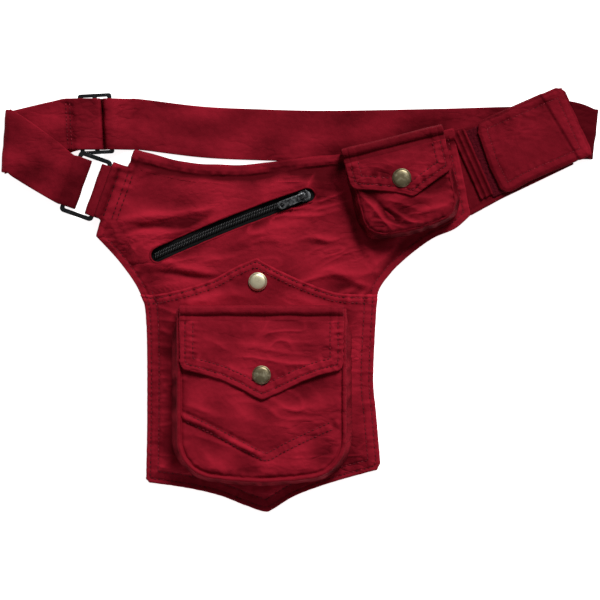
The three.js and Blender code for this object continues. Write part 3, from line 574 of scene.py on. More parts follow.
def front_surface(x, y):
    """The front panel's top with its relief."""
    return front_height(x, y) + front_relief(x, y)


def relief_wear_and_shade(relief):
    """Relief as a value of -1 to 1 for the cloth's colour, its share of a full change of tone: paler on
    raised, rubbed ridges, and darker in grooves as painted shade.
    """
    return np.clip(relief / full_tone, -1, 1)


def cloth_panel(name, grid, height, relief, shade=0.0):
    """One ply of twill on a grid, its relief over a smooth top, and nowhere thinner than its least; its
    colour value is lowered by the painted shade given.
    """
    x, y = grid[..., 0], grid[..., 1]
    under = height(x, y) - cloth
    rise = relief(x, y)
    over = np.maximum(under + least_ply, under + cloth + rise)
    return shell(name, sheet_of(grid, over), sheet_of(grid, under), red_twill, relief_wear_and_shade(rise) - shade)


front_grid = stretched(bottom_side, right_side, top_side, front_left, columns=205, rows=215, crowd=0.35)
# The front's painted shade: darker within 22 mm of the waist edge, and on the lip where the ring's tab meets
# it.
from_waist, _ = beside(top_side, front_grid[..., 0], front_grid[..., 1])
along_tab, beside_tab = in_ring(front_grid[..., 0], front_grid[..., 1])
shade = waist_painted_shade * smooth(22 * mm, 3 * mm, from_waist)
shade += tab_edge_painted_shade * smooth(23 * mm, 16 * mm, along_tab) * smooth(24 * mm, 18 * mm, np.abs(beside_tab))
front_panel = cloth_panel("front_panel", front_grid, front_height, front_relief, shade)

# The zip's slot is cut out of the finished cloth, 11 mm wide, a little bowed towards the waist.
zip_length = 130 * mm
zip_opening = 11 * mm
zip_turn = math.radians(21.7)
zip_bow = 2 * mm
zip_middle = on_pouch(0.366, 0.794)
zip_way = np.array([math.cos(zip_turn), math.sin(zip_turn)])
zip_side = np.array([-zip_way[1], zip_way[0]])


def on_zip(along, across):
    """A place in the zip's own frame; its middle line is a shallow parabola."""
    along, across = np.asarray(along)[..., None], np.asarray(across)[..., None]
    bow = zip_bow * (1 - (2 * along / zip_length) ** 2)
    return zip_middle + along * zip_way + (across + bow) * zip_side


def slot_edge(grow, count=200):
    """The slot's outline: two long sides joined by half circles, pushed out by grow."""
    half = zip_opening / 2 + grow
    straight = zip_length / 2 - zip_opening / 2
    turn = np.linspace(-np.pi / 2, np.pi / 2, 24)
    side = np.linspace(-straight, straight, count // 2)[1:-1]
    end = straight + half * np.cos(turn)
    along = np.concatenate([end, side[::-1], -end, side])
    level = np.full(len(side), half)
    across = np.concatenate([half * np.sin(turn), level, -half * np.sin(turn), -level])
    return on_zip(np.append(along, along[0]), np.append(across, across[0]))


edge = slot_edge(0)[:-1]
count = len(edge)
low_ring, high_ring = [np.column_stack([edge, np.full(count, z)]) for z in (-20 * mm, 60 * mm)]
ring = np.arange(count)
walls = np.stack([ring, np.roll(ring, -1), np.roll(ring, -1) + count, ring + count], -1).tolist()
cutter = made("slot_cutter", np.concatenate([low_ring, high_ring]),
              walls + [ring[::-1].tolist(), (ring + count).tolist()], red_twill, smooth_faces=False)
cut = front_panel.modifiers.new("slot", "BOOLEAN")
cut.object = cutter
cut.operation = "DIFFERENCE"
cut.solver = "EXACT"
bpy.context.view_layer.update()
finished = bpy.data.meshes.new_from_object(front_panel.evaluated_get(bpy.context.evaluated_depsgraph_get()))
front_panel.modifiers.clear()
front_panel.data = finished
bpy.data.objects.remove(cutter)
fastened(front_panel, "body_front")

# The slot's lip. The cloth is folded under at the slot and topstitched to the tape, which leaves a round
# raised edge all round the opening.
lip_radius = 0.8 * mm


def swept(name, rings, material, closed=False, wear_and_shade=None):
    """A tube through rings of points: sections one after another, each a closed ring, with flat ends
    unless the last section meets the first. The attribute wear, if given, has one value a point."""
    steps, sides = rings.shape[:2]
    index = np.arange(steps * sides).reshape(steps, sides)
    if closed:
        index = np.concatenate([index, index[:1]])
    ahead = np.roll(index, -1, axis=1)
    quads = np.stack([index[:-1], ahead[:-1], ahead[1:], index[1:]], -1).reshape(-1, 4).tolist()
    ends = [] if closed else [index[0][::-1].tolist(), index[-1].tolist()]
    piece = made(name, rings.reshape(-1, 3), quads + ends, material)
    return piece if wear_and_shade is None else with_wear_and_shade(piece, wear_and_shade)


def cord_rings(path, radius, sides, closed=False):
    """Round sections of a cord along a path that lies about level: each ring is the path's point plus
    radius times cosine sideways and sine upwards."""
    if closed:
        ahead = np.roll(path, -1, axis=0) - np.roll(path, 1, axis=0)
    else:
        ahead = np.gradient(path, axis=0)
    side = np.stack([-ahead[:, 1], ahead[:, 0], np.zeros(len(path))], -1)
    side /= np.linalg.norm(side, axis=1)[:, None]
    turn = np.linspace(0, 2 * np.pi, sides, endpoint=False)[:, None]
    radius = np.broadcast_to(radius, (len(path),))[:, None, None]
    return path[:, None] + radius * (np.cos(turn) * side[:, None] + np.sin(turn) * np.array([0, 0, 1.0]))


lip_path = evenly(slot_edge(0.3 * mm, 240), 240)[:-1]
lip_z = front_surface(lip_path[:, 0], lip_path[:, 1]) - 0.6 * mm
lip_radii = lip_radius * (1 + 0.12 * ripple(np.arange(239.0), 0, 9, 21))
lip_rings = cord_rings(sheet_of(lip_path, lip_z), lip_radii, sides=10, closed=True)
fastened(swept("zip_lip", lip_rings, red_twill, closed=True))

# The zip. A black woven tape lies under the slot, with a dark nylon coil of two rows of teeth along its
# middle. The slider and its pull are black coated metal.
tape_width = 20 * mm
tooth_pitch = 1.3 * mm
tooth_length = 2.9 * mm
tooth_radius = 0.5 * mm
coil_rise = 1.5 * mm


def tape_height(x, y):
    """The tape's top lies a gap under the front panel."""
    return front_height(x, y) - cloth - ply_gap


def black_weave(place, wear_and_shade):
    """Woven tape: ribs along and across the zip."""
    across = (place.axis("Y") * zip_way[0] - place.axis("X") * zip_way[1]) * (2 * math.pi / (0.8 * mm))
    along = (place.axis("X") * zip_way[0] + place.axis("Y") * zip_way[1]) * (2 * math.pi / (0.9 * mm))
    weave = across.sine() * along.sine()
    tone = weave * 0.2 + place.noise(300.0, 3.0) * 0.6 + 0.1
    return {
        "Base Color": tone.between(0.0, 1.0).mixed((0.002, 0.002, 0.0022, 1), (0.007, 0.007, 0.0075, 1)),
        "Roughness": 0.85,
        "Specular IOR Level": 0.12,
        "height": weave * (0.07 * mm) + place.noise(150.0, 3.0) * (0.5 * mm),
    }


zip_tape_cloth = painted("zip_tape_weave", black_weave)
tape_shares = np.meshgrid(np.linspace(-0.53, 0.53, 180), np.linspace(-0.5, 0.5, 22))
along, across = tape_shares[0] * zip_length, tape_shares[1] * tape_width
tape_grid = on_zip(along, across)
tape_z = tape_height(tape_grid[..., 0], tape_grid[..., 1])
tape_relief = 0.25 * mm * np.cos(2 * np.pi * across / (4.2 * mm))
tape_relief = tape_relief + 0.2 * mm * ripple(along, across, 14 * mm, 31)
zip_tape = shell("zip_tape_woven", sheet_of(tape_grid, tape_z + tape_relief - 0.3 * mm),
                 sheet_of(tape_grid, tape_z - 0.9 * mm), zip_tape_cloth, rounds=1)
fastened(zip_tape, "zip_tape")


def lozenge():
    """The unit stitch along X as points, quads and triangles: three rings of six points and two poles."""
    turn = np.linspace(0, 2 * np.pi, 6, endpoint=False)
    points = [(-1, 0, 0), (1, 0, 0)]
    for t, r in ((-0.68, 0.74), (0, 1), (0.68, 0.74)):
        points += [(t, r * math.cos(a), r * math.sin(a)) for a in turn]
    index = 2 + np.arange(18).reshape(3, 6)
    ahead = np.roll(index, -1, axis=1)
    quads = np.stack([index[:-1], ahead[:-1], ahead[1:], index[1:]], -1).reshape(-1, 4)
    first = np.stack([np.zeros(6, int), ahead[0], index[0]], -1)
    last = np.stack([np.ones(6, int), index[2], ahead[2]], -1)
    return np.array(points), quads, np.concatenate([first, last])


def strewn(name, middles, ways, half_length, radius, material):
    """Many lozenges as one mesh: each lies along its own way, with its side level and its back upwards."""
    unit, quads, tips = lozenge()
    ways = ways / np.linalg.norm(ways, axis=1)[:, None]
    side = np.cross([0, 0, 1.0], ways)
    side /= np.linalg.norm(side, axis=1)[:, None]
    up = np.cross(ways, side)
    half_length = np.broadcast_to(half_length, (len(middles),))[:, None, None]
    points = (middles[:, None] + unit[None, :, :1] * half_length * ways[:, None]
              + unit[None, :, 1:2] * radius * side[:, None] + unit[None, :, 2:] * radius * up[:, None])
    shift = (np.arange(len(middles)) * len(unit))[:, None, None]
    faces = (quads + shift).reshape(-1, 4).tolist() + (tips + shift).reshape(-1, 3).tolist()
    return made(name, points, faces, material)


def coil_finish(place, wear_and_shade):
    """Dark nylon, a little greyed on top."""
    return {
        "Base Color": place.noise(400.0, 3.0).mixed((0.003, 0.003, 0.003, 1), (0.02, 0.02, 0.021, 1)),
        "Roughness": 0.4,
        "Specular IOR Level": 0.35,
        "height": place.noise(1500.0, 2.0) * (0.06 * mm),
    }


coil_nylon = painted("coil_nylon", coil_finish)
slots = np.arange(-0.475 * zip_length, 0.475 * zip_length, tooth_pitch)
tooth_along = np.concatenate([slots, slots + tooth_pitch / 2])
tooth_across = np.concatenate([np.full(len(slots), -0.28), np.full(len(slots), 0.28)]) * tooth_length * 2
teeth = on_zip(tooth_along, 0.62 * tooth_across)
tooth_z = tape_height(teeth[:, 0], teeth[:, 1]) + 0.45 * coil_rise
tooth_way = np.tile([*zip_side, 0.0], (len(teeth), 1)) + 0.22 * np.tile([*zip_way, 0.0], (len(teeth), 1))
coil = strewn("zip_coil", sheet_of(teeth, tooth_z), tooth_way, tooth_length / 2, tooth_radius, coil_nylon)
fastened(coil, "zip_chain")


def black_coat(place, wear_and_shade):
    """Black enamel on metal, a little uneven, rubbed grey in small spots."""
    rubbed = place.noise(160.0, 4.0, 0.65).between(0.58, 0.75)
    return {
        "Base Color": rubbed.mixed((0.004, 0.0045, 0.006, 1), (0.035, 0.038, 0.042, 1)),
        "Roughness": 0.26 + rubbed * 0.2,
        "Metallic": 0.2,
        "Coat Weight": 0.2,
        "height": place.noise(500.0, 2.0) * (0.05 * mm),
    }


black_metal = painted("black_enamel", black_coat)


def softened(name, node, body, material, edge_radius):
    """The metal part as cast: its flat facets joined, every hard edge rounded by the same radius."""
    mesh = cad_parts[node].data.copy()
    shape = bmesh.new()
    shape.from_mesh(mesh)
    bmesh.ops.remove_doubles(shape, verts=shape.verts, dist=0.01 * mm)
    bmesh.ops.dissolve_limit(shape, angle_limit=math.radians(2), verts=shape.verts, edges=shape.edges)
    shape.to_mesh(mesh)
    shape.free()
    mesh.materials.clear()
    mesh.materials.append(material)
    mesh.shade_smooth()
    piece = bpy.data.objects.new(name, mesh)
    scene.collection.objects.link(piece)
    bevel = piece.modifiers.new("rounded", "BEVEL")
    bevel.width = edge_radius
    bevel.segments = 3
    bevel.limit_method = "ANGLE"
    bevel.angle_limit = math.radians(35)
    bevel.harden_normals = True
    fastened(piece, node, body)


def rubbed_metal(place, wear_and_shade):
    """The same enamel rubbed nearly to the metal on the slider and its pull."""
    rubbed = place.noise(420.0, 4.0, 0.65).between(0.4, 0.68)
    return {
        "Base Color": rubbed.mixed((0.012, 0.012, 0.014, 1), (0.20, 0.205, 0.21, 1)),
        "Roughness": 0.24 + rubbed * 0.15,
        "Metallic": 0.75,
        "height": place.noise(700.0, 2.0) * (0.08 * mm),
    }


worn_enamel = painted("worn_enamel", rubbed_metal)
softened("slider_body", "zip_slider", "bag", worn_enamel, 0.25 * mm)
softened("pull_tab", "zip_pull", "zip_pull", worn_enamel, 0.3 * mm)

# The patch pocket. A panel over the lower front, sewn in at the sides and foot and open along its pointed
# upper edge, which is hemmed with two rows of stitches. A snap holds the point down.
patch_rows = [
    (0.117, 0.598, 1), (0.158, 0.597, 0), (0.237, 0.6145, 0), (0.312, 0.64, 0), (0.367, 0.671, 0),
    (0.43, 0.7, 1), (0.467, 0.677, 0), (0.537, 0.6425, 0), (0.611, 0.612, 0), (0.66, 0.6, 0),
    (0.753, 0.597, 1),
]
patch_top = drawn(patch_rows)
mouth_rows = (1.5 * mm, 5.2 * mm)
side_rows = (2.4 * mm, 8.2 * mm)
patch_folds = [
    ((0.196, 0.555), -8, 11, 2.4, 1.3), ((0.2, 0.528), 6, 10, 2.2, 1.2), ((0.19, 0.497), -6, 10, 2.4, 1.2),
    ((0.185, 0.46), 10, 9, 2.4, 1.0), ((0.19, 0.415), -4, 10, 3, 0.8), ((0.18, 0.12), -4, 14, 3, 1.0),
    ((0.27, 0.585), 8, 18, 3.5, 1.0), ((0.33, 0.6), 14, 22, 4, 0.8), ((0.56, 0.585), -14, 24, 5, 0.9),
    ((0.67, 0.565), -4, 10, 2.5, 1.1), ((0.69, 0.52), 60, 10, 2.5, 0.9), ((0.72, 0.14), 10, 12, 3, 1.0),
    ((0.44, 0.62), 2, 40, 6, -0.7), ((0.45, 0.05), 0, 30, 3, 0.8), ((0.31, 0.09), -12, 22, 3, 0.8),
]


def side_of_patch(side):
    """The part of a side of the pouch from the foot up to the patch's edge."""
    limit = on_pouch(0, 0.598)[1]
    kept = side[side[:, 1] < limit]
    return np.concatenate([kept, [[np.interp(limit, side[:, 1], side[:, 0]), limit]]])


patch_left, patch_right = side_of_patch(left_side), side_of_patch(right_side)
patch_mouth = np.concatenate([patch_left[-1:], patch_top[1:-1], patch_right[-1:]])
patch_seam = np.concatenate([patch_left[::-1], bottom_side[1:], patch_right[1:]])


def patch_height(x, y):
    """The patch pocket's smooth top: one ply and its room over the front panel's."""
    away, _ = beside(pouch_edge, x, y)
    return front_height(x, y) + ply_gap + patch_room * smooth(0, hem_fade, away) + cloth


def patch_relief(x, y):
    """Hemmed mouth, double stitched sides, one row along the foot, and gathers beside the box pocket."""
    mouth, along_mouth = beside(patch_mouth, x, y)
    away, along = beside(patch_seam, x, y)
    hem = 0.8 * mm * smooth(mouth_rows[1] + 1.6 * mm, mouth_rows[1], mouth)
    hem = hem + 0.45 * mm * smooth(side_rows[1], side_rows[0], away)
    rows = sum(stitch_row(mouth, along_mouth, at, 0.4 * mm, 0.3 * mm, 41) for at in mouth_rows)
    rows = rows + sum(stitch_row(away, along, at, 0.45 * mm, 0.2 * mm, 42) for at in side_rows)
    soft = slack(x, y, (0.8, 40), (1.3, 28), (0.3, 14), 43) + folds(x, y, patch_folds, on_pouch)
    return smooth(3 * mm, 12 * mm, np.minimum(away, mouth)) * soft + hem + rows


def patch_surface(x, y):
    """The patch pocket's top with its relief."""
    return patch_height(x, y) + patch_relief(x, y)


patch_grid = stretched(bottom_side, patch_right, patch_mouth, patch_left, columns=185, rows=190, crowd=0.4)
patch_panel = cloth_panel("patch_panel", patch_grid, patch_height, patch_relief)
fastened(patch_panel, "patch_pocket")

# The topstitching. Dark red thread, about eight stitches to the inch, each stitch a small lozenge
# bedded in the cloth.
stitch_step = 3.1 * mm
stitch_half = 1.15 * mm
thread_radius = 0.36 * mm
thread_dark = (0.03, 0.001, 0.002, 1)
thread_light = (0.30, 0.018, 0.034, 1)
thread_rise = 0.35
row_jump = 6 * mm


def thread_finish(place, wear_and_shade):
    """Matt cotton thread, dark where its wear is 0 and the cloth's own red where it is 1."""
    return {
        "Base Color": (place.noise(420.0, 2.0).between(0.35, 0.7) * wear_and_shade).mixed(thread_dark, thread_light),
        "Roughness": 0.75,
        "Specular IOR Level": 0.15,
        "height": place.noise(3000.0, 1.0) * (0.05 * mm),
    }


red_thread = painted("red_thread", thread_finish)


def inset(path, by):
    """A path moved to its right by a distance, along its own normals."""
    way = np.gradient(path, axis=0)
    way /= np.maximum(np.linalg.norm(way, axis=1), 1e-9)[:, None]
    return path + by * np.stack([way[:, 1], -way[:, 0]], -1)


def raised(runs, surface):
    """Level runs lifted to a surface's height at each of their points."""
    return [sheet_of(run, surface(run[:, 0], run[:, 1])) for run in runs]


def sewn(name, lines, step=stitch_step, sink=0.0, tone=0.9):
    """Stitches along lines in space: each lies on the chord of its stretch of line. Their wear is tone."""
    middles, ways = [], []
    for line in lines:
        ends = evenly(line, max(int(run_of(line)[-1] / step), 2) * 2 + 1)
        middles.append((ends[:-2:2] + ends[2::2]) / 2)
        ways.append(ends[2::2] - ends[:-2:2])
    middles, ways = np.concatenate(middles), np.concatenate(ways)
    middles[:, 2] += thread_rise * thread_radius - sink
    piece = strewn(name, middles, ways, stitch_half * step / stitch_step, thread_radius, red_thread)
    fastened(with_wear_and_shade(piece, np.full(len(piece.data.vertices), tone)))


def rows_beside(path, at, count, side=-1):
    """A stitch row at a distance from a path, on its left if side is -1: the stretches of it that keep that
    distance, without the loops at corners, parted wherever two points lie further apart than a jump."""
    row = inset(evenly(path, count), side * at)
    away, _ = beside(path, row[:, 0], row[:, 1])
    row = row[away > 0.93 * at]
    gaps = np.flatnonzero(np.linalg.norm(np.diff(row, axis=0), axis=1) > row_jump) + 1
    return [part for part in np.split(row, gaps) if len(part) > 2]


lower_left = left_side[(left_side[:, 1] > patch_left[-1, 1]) & (left_side[:, 1] < on_pouch(0, 0.79)[1])]
lower_right = right_side[::-1][right_side[::-1][:, 1] > patch_left[-1, 1]]
pouch_runs = [inset(evenly(lower_left, 80), edge_row)[4:], inset(evenly(lower_right, 120), edge_row)[4:]]
tab_runs = [np.linspace(on_ring(at, -17 * mm), on_ring(at, 19 * mm), 30) for at in tab_rows]
sewn("pouch_stitches", raised(pouch_runs, front_surface), sink=0.1 * mm)
# The tab's stitches have the thread's darkest colour: painted shade for the dark stitch holes.
sewn("tab_stitches", raised(tab_runs, front_surface), step=3.6 * mm, sink=0.05 * mm, tone=0.0)
patch_runs = [run for at in side_rows for run in rows_beside(patch_seam, at, 400)]
for at in mouth_rows:
    patch_runs += [evenly(run, 200)[6:-6] for run in rows_beside(patch_mouth, at, 200, side=1)]
sewn("patch_stitches", raised(patch_runs, patch_surface))

# The snaps. Pressed brass caps with an antique finish: a low dome with a round shoulder and a thin rim that
# bites into the cloth.
snap_profile = [
    (0, 0.02), (0.9, 0.0), (1.0, 0.06), (1.02, 0.16), (0.97, 0.27), (0.93, 0.36), (0.9, 0.55), (0.84, 0.72),
    (0.74, 0.85), (0.6, 0.93), (0.42, 0.98), (0.2, 1.0), (0, 1.0),
]
brass_brown = (0.2, 0.165, 0.095, 1)
brass_pale = (0.72, 0.66, 0.45, 1)


def brass_patina(place, wear_and_shade):
    """Antique brass: pale and smooth where it is rubbed, browner in clouds, finely brushed."""
    cloud = place.noise(240.0, 4.0, 0.6)
    return {
        "Base Color": (cloud + wear_and_shade * 0.3).between(0.3, 0.72).mixed(brass_brown, brass_pale),
        "Metallic": 0.9,
        "Roughness": 0.34 + cloud * 0.2,
        "height": place.noise(1800.0, 2.0) * (0.04 * mm),
    }


aged_brass = painted("aged_brass_cap", brass_patina)


def snap_cap(name, node, tone):
    """A turned cap on the CAD cap's middle: the profile's shares times its radius and height. Its wear is the
    same all over."""
    low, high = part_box(node)
    radius, rise = (high.x - low.x) / 2, high.z - low.z
    out, up = curve_through(snap_profile, 40)[1:-1].T
    turn = np.linspace(0, 2 * np.pi, 56, endpoint=False)
    x = np.outer(out, np.cos(turn)) * radius + (low.x + high.x) / 2
    y = np.outer(out, np.sin(turn)) * radius + (low.y + high.y) / 2
    z = np.outer(up, np.ones(56)) * rise + low.z
    cap = swept(name, np.stack([x, y, z], -1), aged_brass, wear_and_shade=np.full(x.shape, tone))
    fastened(cap, node)


snap_cap("patch_snap", "snap_cap_patch", tone=1.0)
snap_cap("box_snap", "snap_cap_box", tone=-0.7)
snap_cap("small_snap", "snap_cap_small", tone=-0.7)

# The bellows pockets. Each is a front panel on a gusset wall that stands off the pouch, under a pointed flap
# whose top is rolled over the pocket's mouth. The large one has a corded piping round its front panel.
flap_thick = 1.8 * mm
piping_radius = 1.4 * mm
flap_rows = (3.6 * mm, 9.4 * mm)
foot_sag = 0.02
wall_seat = 0.3 * mm
rim_drop = 1.3 * mm
# The flap's rolled top is painted darker: a painted shade.
roll_painted_shade = -0.35

# How the flap rolls over the mouth: y in millimetres, the share of the way up to its top, and the
# millimetres above that.
roll_profile = [(2.0, 0.0, 0), (2.9, 0.5, 0), (2.7, 0.85, 0), (1.7, 1, 0.5), (0.0, 1, 1.5), (-2.0, 1, 1.6),
                (-3.7, 1, 0.6), (-4.9, 1, -0.7), (-6.4, 1, -0.5), (-8.6, 1, 0.1)]


def u_path(half, height, corner, counts=(60, 26, 60)):
    """A U from its left end down and round to its right end: straight sides, round corners and a foot
    that sags by a share of the height."""
    sides, turns, foot = counts
    down = np.stack([np.full(sides, -half), -np.linspace(0, 1, sides) * (height - corner)], -1)
    turn = np.linspace(0, np.pi / 2, turns + 1)[1:]
    round_x = -half + corner * (1 - np.cos(turn))
    round_y = -(height - corner) - corner * np.sin(turn)
    x = np.linspace(-half + corner, 0, foot // 2 + 1)[1:]
    across = np.stack([x, -height - foot_sag * height * (1 - (x / (half - corner)) ** 2)], -1)
    left = np.concatenate([down, np.stack([round_x, round_y], -1), across])
    return np.concatenate([left, left[-2::-1] * [-1, 1]])


def thicken(grid, thick):
    """The same grid moved in by a thickness along its normals, which are the cross product of its steps."""
    normal = np.cross(np.gradient(grid, axis=1), np.gradient(grid, axis=0))
    normal /= np.maximum(np.linalg.norm(normal, axis=-1), 1e-12)[..., None]
    return grid - thick * normal, normal


def side_shares(count, crowd):
    """Shares from -1 to 1, drawn closer to both ends: a sine and an even row mixed."""
    return crowd * np.sin(np.linspace(-np.pi / 2, np.pi / 2, count)) + (1 - crowd) * np.linspace(-1, 1, count)


def to_table(pocket, x, y):
    """A place in the pocket's own frame, x across and y up from its mouth, as a place on the table."""
    dx, dy = turned(x, y, pocket.turn)
    return pocket.origin[0] + dx, pocket.origin[1] + dy


def placed(pocket, points):
    """Points of the pocket's own frame on the table."""
    return np.stack([*to_table(pocket, points[..., 0], points[..., 1]), points[..., 2]], -1)


def seat_height(pocket, x, y):
    """The height of the cloth under the pocket."""
    return pocket.seat(*to_table(pocket, x, y))


def gusset_wall(pocket):
    """A stack of U paths from the seat to the front panel's rim: at the share t of the height each is wider
    by the flare times (1 - t)^1.5, swells by a sine, and narrows again beside the mouth."""
    half, height = pocket.half, pocket.height
    shares = np.linspace(0, 1, 15)
    levels = []
    for t in shares:
        side = pocket.side_flare * (1 - t) ** 1.5
        foot = pocket.foot_flare * (1 - t) ** 1.5
        swell = 1.0 * mm * math.sin(math.pi * t)
        path = u_path(half + side + swell, height + foot + swell, pocket.corner + side)
        closing = smooth(-2 * mm, -22 * mm, path[:, 1])
        path[:, 0] -= np.sign(path[:, 0]) * (1 - closing) * 0.6 * (np.abs(path[:, 0]) - half).clip(0)
        low = seat_height(pocket, path[:, 0], path[:, 1]) + wall_seat
        levels.append(sheet_of(path, low + (pocket.base + wall_seat - low) * t))
    wall = np.array(levels)
    _, out = thicken(wall, 0)
    run = np.linspace(0, 1, wall.shape[1])[None] * (2 * height + pocket.width)
    shares = shares[:, None]
    tall = shares * pocket.depth
    puckers = pocket.wrinkles * ripple(run + 0.15 * tall, 0.25 * tall, 13 * mm, pocket.seed)
    puckers = puckers * np.sin(np.pi * shares) ** 0.7
    uneven = 1 + 0.8 * ripple(run, tall, 20 * mm, pocket.seed + 1)
    crease = -0.4 * mm * bell((shares - 0.55) / 0.12) * uneven
    wall = wall + (puckers + crease)[..., None] * out
    inner, _ = thicken(wall, cloth)
    # The wall's colour value: its relief, the pocket's tone, and a painted shade that deepens towards the
    # seat.
    wear_and_shade = relief_wear_and_shade(puckers + crease) + pocket.tone - 0.55 * (1 - shares)
    gusset = shell(f"{pocket.name}_bellows", placed(pocket, wall), placed(pocket, inner), red_twill, wear_and_shade)
    fastened(gusset, f"{pocket.name}_gusset")


def pocket_front(pocket):
    """The front panel, on a grid whose columns run from the mouth to the U's foot."""
    half, height, corner, seed = pocket.half, pocket.height, pocket.corner, pocket.seed
    rim = u_path(half, height, corner)
    seams = [curve_through(np.array(rows) * [half, height], 80) for rows in pocket.seams]

    def share_place(across, up):
        """Shares of the panel's half width and height as a place in the pocket's frame."""
        return across * half, up * height

    def front_z(x, y):
        """A shallow dome over the pocket's room, lower at the rim, and its stitched seams and creases."""
        off_middle = (y - pocket.middle) / (0.6 * height)
        bowed = np.clip(1 - (x / half) ** 2, 0, 1) * np.clip(1 - off_middle**2, 0, 1)
        away, along = beside(rim, x, y)
        z = pocket.base + cloth + pocket.dome * bowed - rim_drop * smooth(3.2 * mm, 0.4 * mm, away)
        detail = slack(x, y, (0.7, 34), (1.0, 28), (0.25, 12), seed + 2)
        detail = detail + folds(x, y, pocket.front_creases, share_place)
        gather = 0.3 * mm * ripple(along, 0.3 * away, 6 * mm, seed + 5)
        detail = detail * smooth(0, 6 * mm, away) + gather * smooth(7 * mm, 1 * mm, away)
        for k, seam in enumerate(seams):
            apart, run = beside(seam, x, y)
            left_arm = smooth(0.15 * half, -0.2 * half, x)
            ridge = bell(apart / (2.3 * mm)) - 0.9 * bell((apart - 3.4 * mm) / (1.1 * mm))
            detail = detail + (0.25 + 0.8 * left_arm) * mm * ridge
            gather = 0.3 * mm * ripple(run, 0.3 * apart, 5 * mm, seed + 6 + k)
            detail = detail + gather * bell(apart / (4 * mm))
        return z, detail

    def surface(x, y):
        """The panel's top with its relief."""
        return sum(front_z(x, y))

    x = side_shares(120, 0.35) * half
    corner_x = np.maximum(np.abs(x) - (half - corner), 0)
    foot = height - corner + np.sqrt(np.maximum(corner**2 - corner_x**2, 0))
    foot = foot + foot_sag * height * np.clip(1 - (x / (half - corner)) ** 2, 0, 1)
    drop = crowded(130, 0.3)[::-1, None]
    grid = np.stack([np.tile(x, (len(drop), 1)), -drop * foot[None]], -1)
    z, detail = front_z(grid[..., 0], grid[..., 1])
    over, under = placed(pocket, sheet_of(grid, z + detail)), placed(pocket, sheet_of(grid, z - cloth))
    panel = shell(f"{pocket.name}_panel", over, under, red_twill, relief_wear_and_shade(detail) + pocket.tone)
    fastened(panel, f"{pocket.name}_front")
    runs = [evenly(inset(seam, by), 60)[2:-2] for seam in seams for by in (-2.6 * mm, 2.6 * mm)]
    if runs:
        sewn(f"{pocket.name}_seam_stitches", [placed(pocket, line) for line in raised(runs, surface)])


def corded_piping(pocket):
    """A cord covered in twill round the front panel's rim, its height and radius a little uneven."""
    by = piping_radius - 0.4 * mm
    path = u_path(pocket.half + by, pocket.height + by, pocket.corner + by)
    step = np.arange(len(path))
    z = pocket.base + 1.05 * mm + 0.2 * mm * ripple(step, 0, 23, pocket.seed + 9)
    radius = 1.15 * piping_radius * (1 + 0.05 * ripple(step, 0, 11, pocket.seed + 10))
    rings = placed(pocket, cord_rings(sheet_of(path, z), radius, sides=12))
    fastened(swept(f"{pocket.name}_cord_piping", rings, red_twill), f"{pocket.name}_piping")


def pointed_flap(pocket):
    """The flap: a level part down to its pointed hem, and rows along the roll's profile over the mouth."""
    half, reach, seed = pocket.flap_half, pocket.flap_length, pocket.seed
    top = pocket.base + cloth + pocket.dome + ply_gap + flap_thick
    foot_z = float(seat_height(pocket, np.array([0.0]), np.array([3 * mm]))[0]) + 0.6 * mm
    hem = np.array(pocket.hem_rows) * [half, -reach]
    x = side_shares(130, 0.3) * hem[-1, 0] * 0.999
    x[0], x[-1] = hem[0, 0], hem[-1, 0]
    low_y = np.interp(x, hem[:, 0], hem[:, 1])
    low_y[2:-2] = np.convolve(low_y, np.array([1, 2, 3, 2, 1]) / 9, "valid")
    roll = curve_through(roll_profile, 40) * [mm, 1, mm]
    high_y = roll[-1, 0]
    edge_path = np.concatenate([[[x[0], high_y]], np.stack([x, low_y], -1), [[x[-1], high_y]]])

    def share_place(across, up):
        """Shares of the flap's half width and reach as a place in the pocket's frame."""
        return across * half, up * reach

    def flap_z(x, y):
        """Nearly level, falling a little to the sides and to the hem, with double topstitching."""
        away, along = beside(edge_path, x, y)
        z = top - 1.3 * mm * (x / half) ** 2 - 0.5 * mm * smooth(-0.3, -1.0, y / reach)
        detail = slack(x, y, (0.7, 34), (0.9, 26), (0.2, 12), seed + 11, steep=1.3)
        detail = detail + folds(x, y, pocket.flap_creases, share_place)
        detail = detail * smooth(2 * mm, 11 * mm, away) * smooth(-6 * mm, -13 * mm, y)
        detail = detail + 0.55 * mm * smooth(flap_rows[1] + 1.4 * mm, flap_rows[1] - 0.4 * mm, away)
        for k, at in enumerate(flap_rows):
            detail = detail + stitch_row(away, along, at, 0.5 * mm, 0.32 * mm, seed + 14 + k)
        return z, detail

    def surface(x, y):
        """The flap's top with its relief."""
        return sum(flap_z(x, y))

    level_y = high_y + np.linspace(1, 0, 80)[:, None] * (low_y[None] - high_y)
    level_x = np.tile(x, (len(level_y), 1))
    z, detail = flap_z(level_x, level_y)
    level = sheet_of(np.stack([level_x, level_y], -1), z + detail)
    side_fall = level[-1, :, 2] - top
    rolled = []
    for y, share, rise in roll[::-1][1:]:
        wobble = 0.35 * mm * ripple(x, y, 22 * mm, seed + 17)
        high = foot_z + share * (top + rise - foot_z)
        rolled.append(np.stack([x, y + wobble * 0.5, high + share * (side_fall + wobble)], -1))
    over = np.concatenate([level, np.array(rolled)])
    under, _ = thicken(over, flap_thick)
    wear_and_shade = np.concatenate([relief_wear_and_shade(detail), np.full((len(rolled), len(x)), roll_painted_shade)]) + pocket.tone
    over, under = placed(pocket, over), placed(pocket, under)
    flap = shell(f"{pocket.name}_pointed_flap", over, under, red_twill, wear_and_shade, bulge=0.45)
    fastened(flap, f"{pocket.name}_flap")
    runs = []
    for at in flap_rows:
        runs += rows_beside(edge_path, at, 220)
    sewn(f"{pocket.name}_flap_stitches", [placed(pocket, line) for line in raised(runs, surface)])


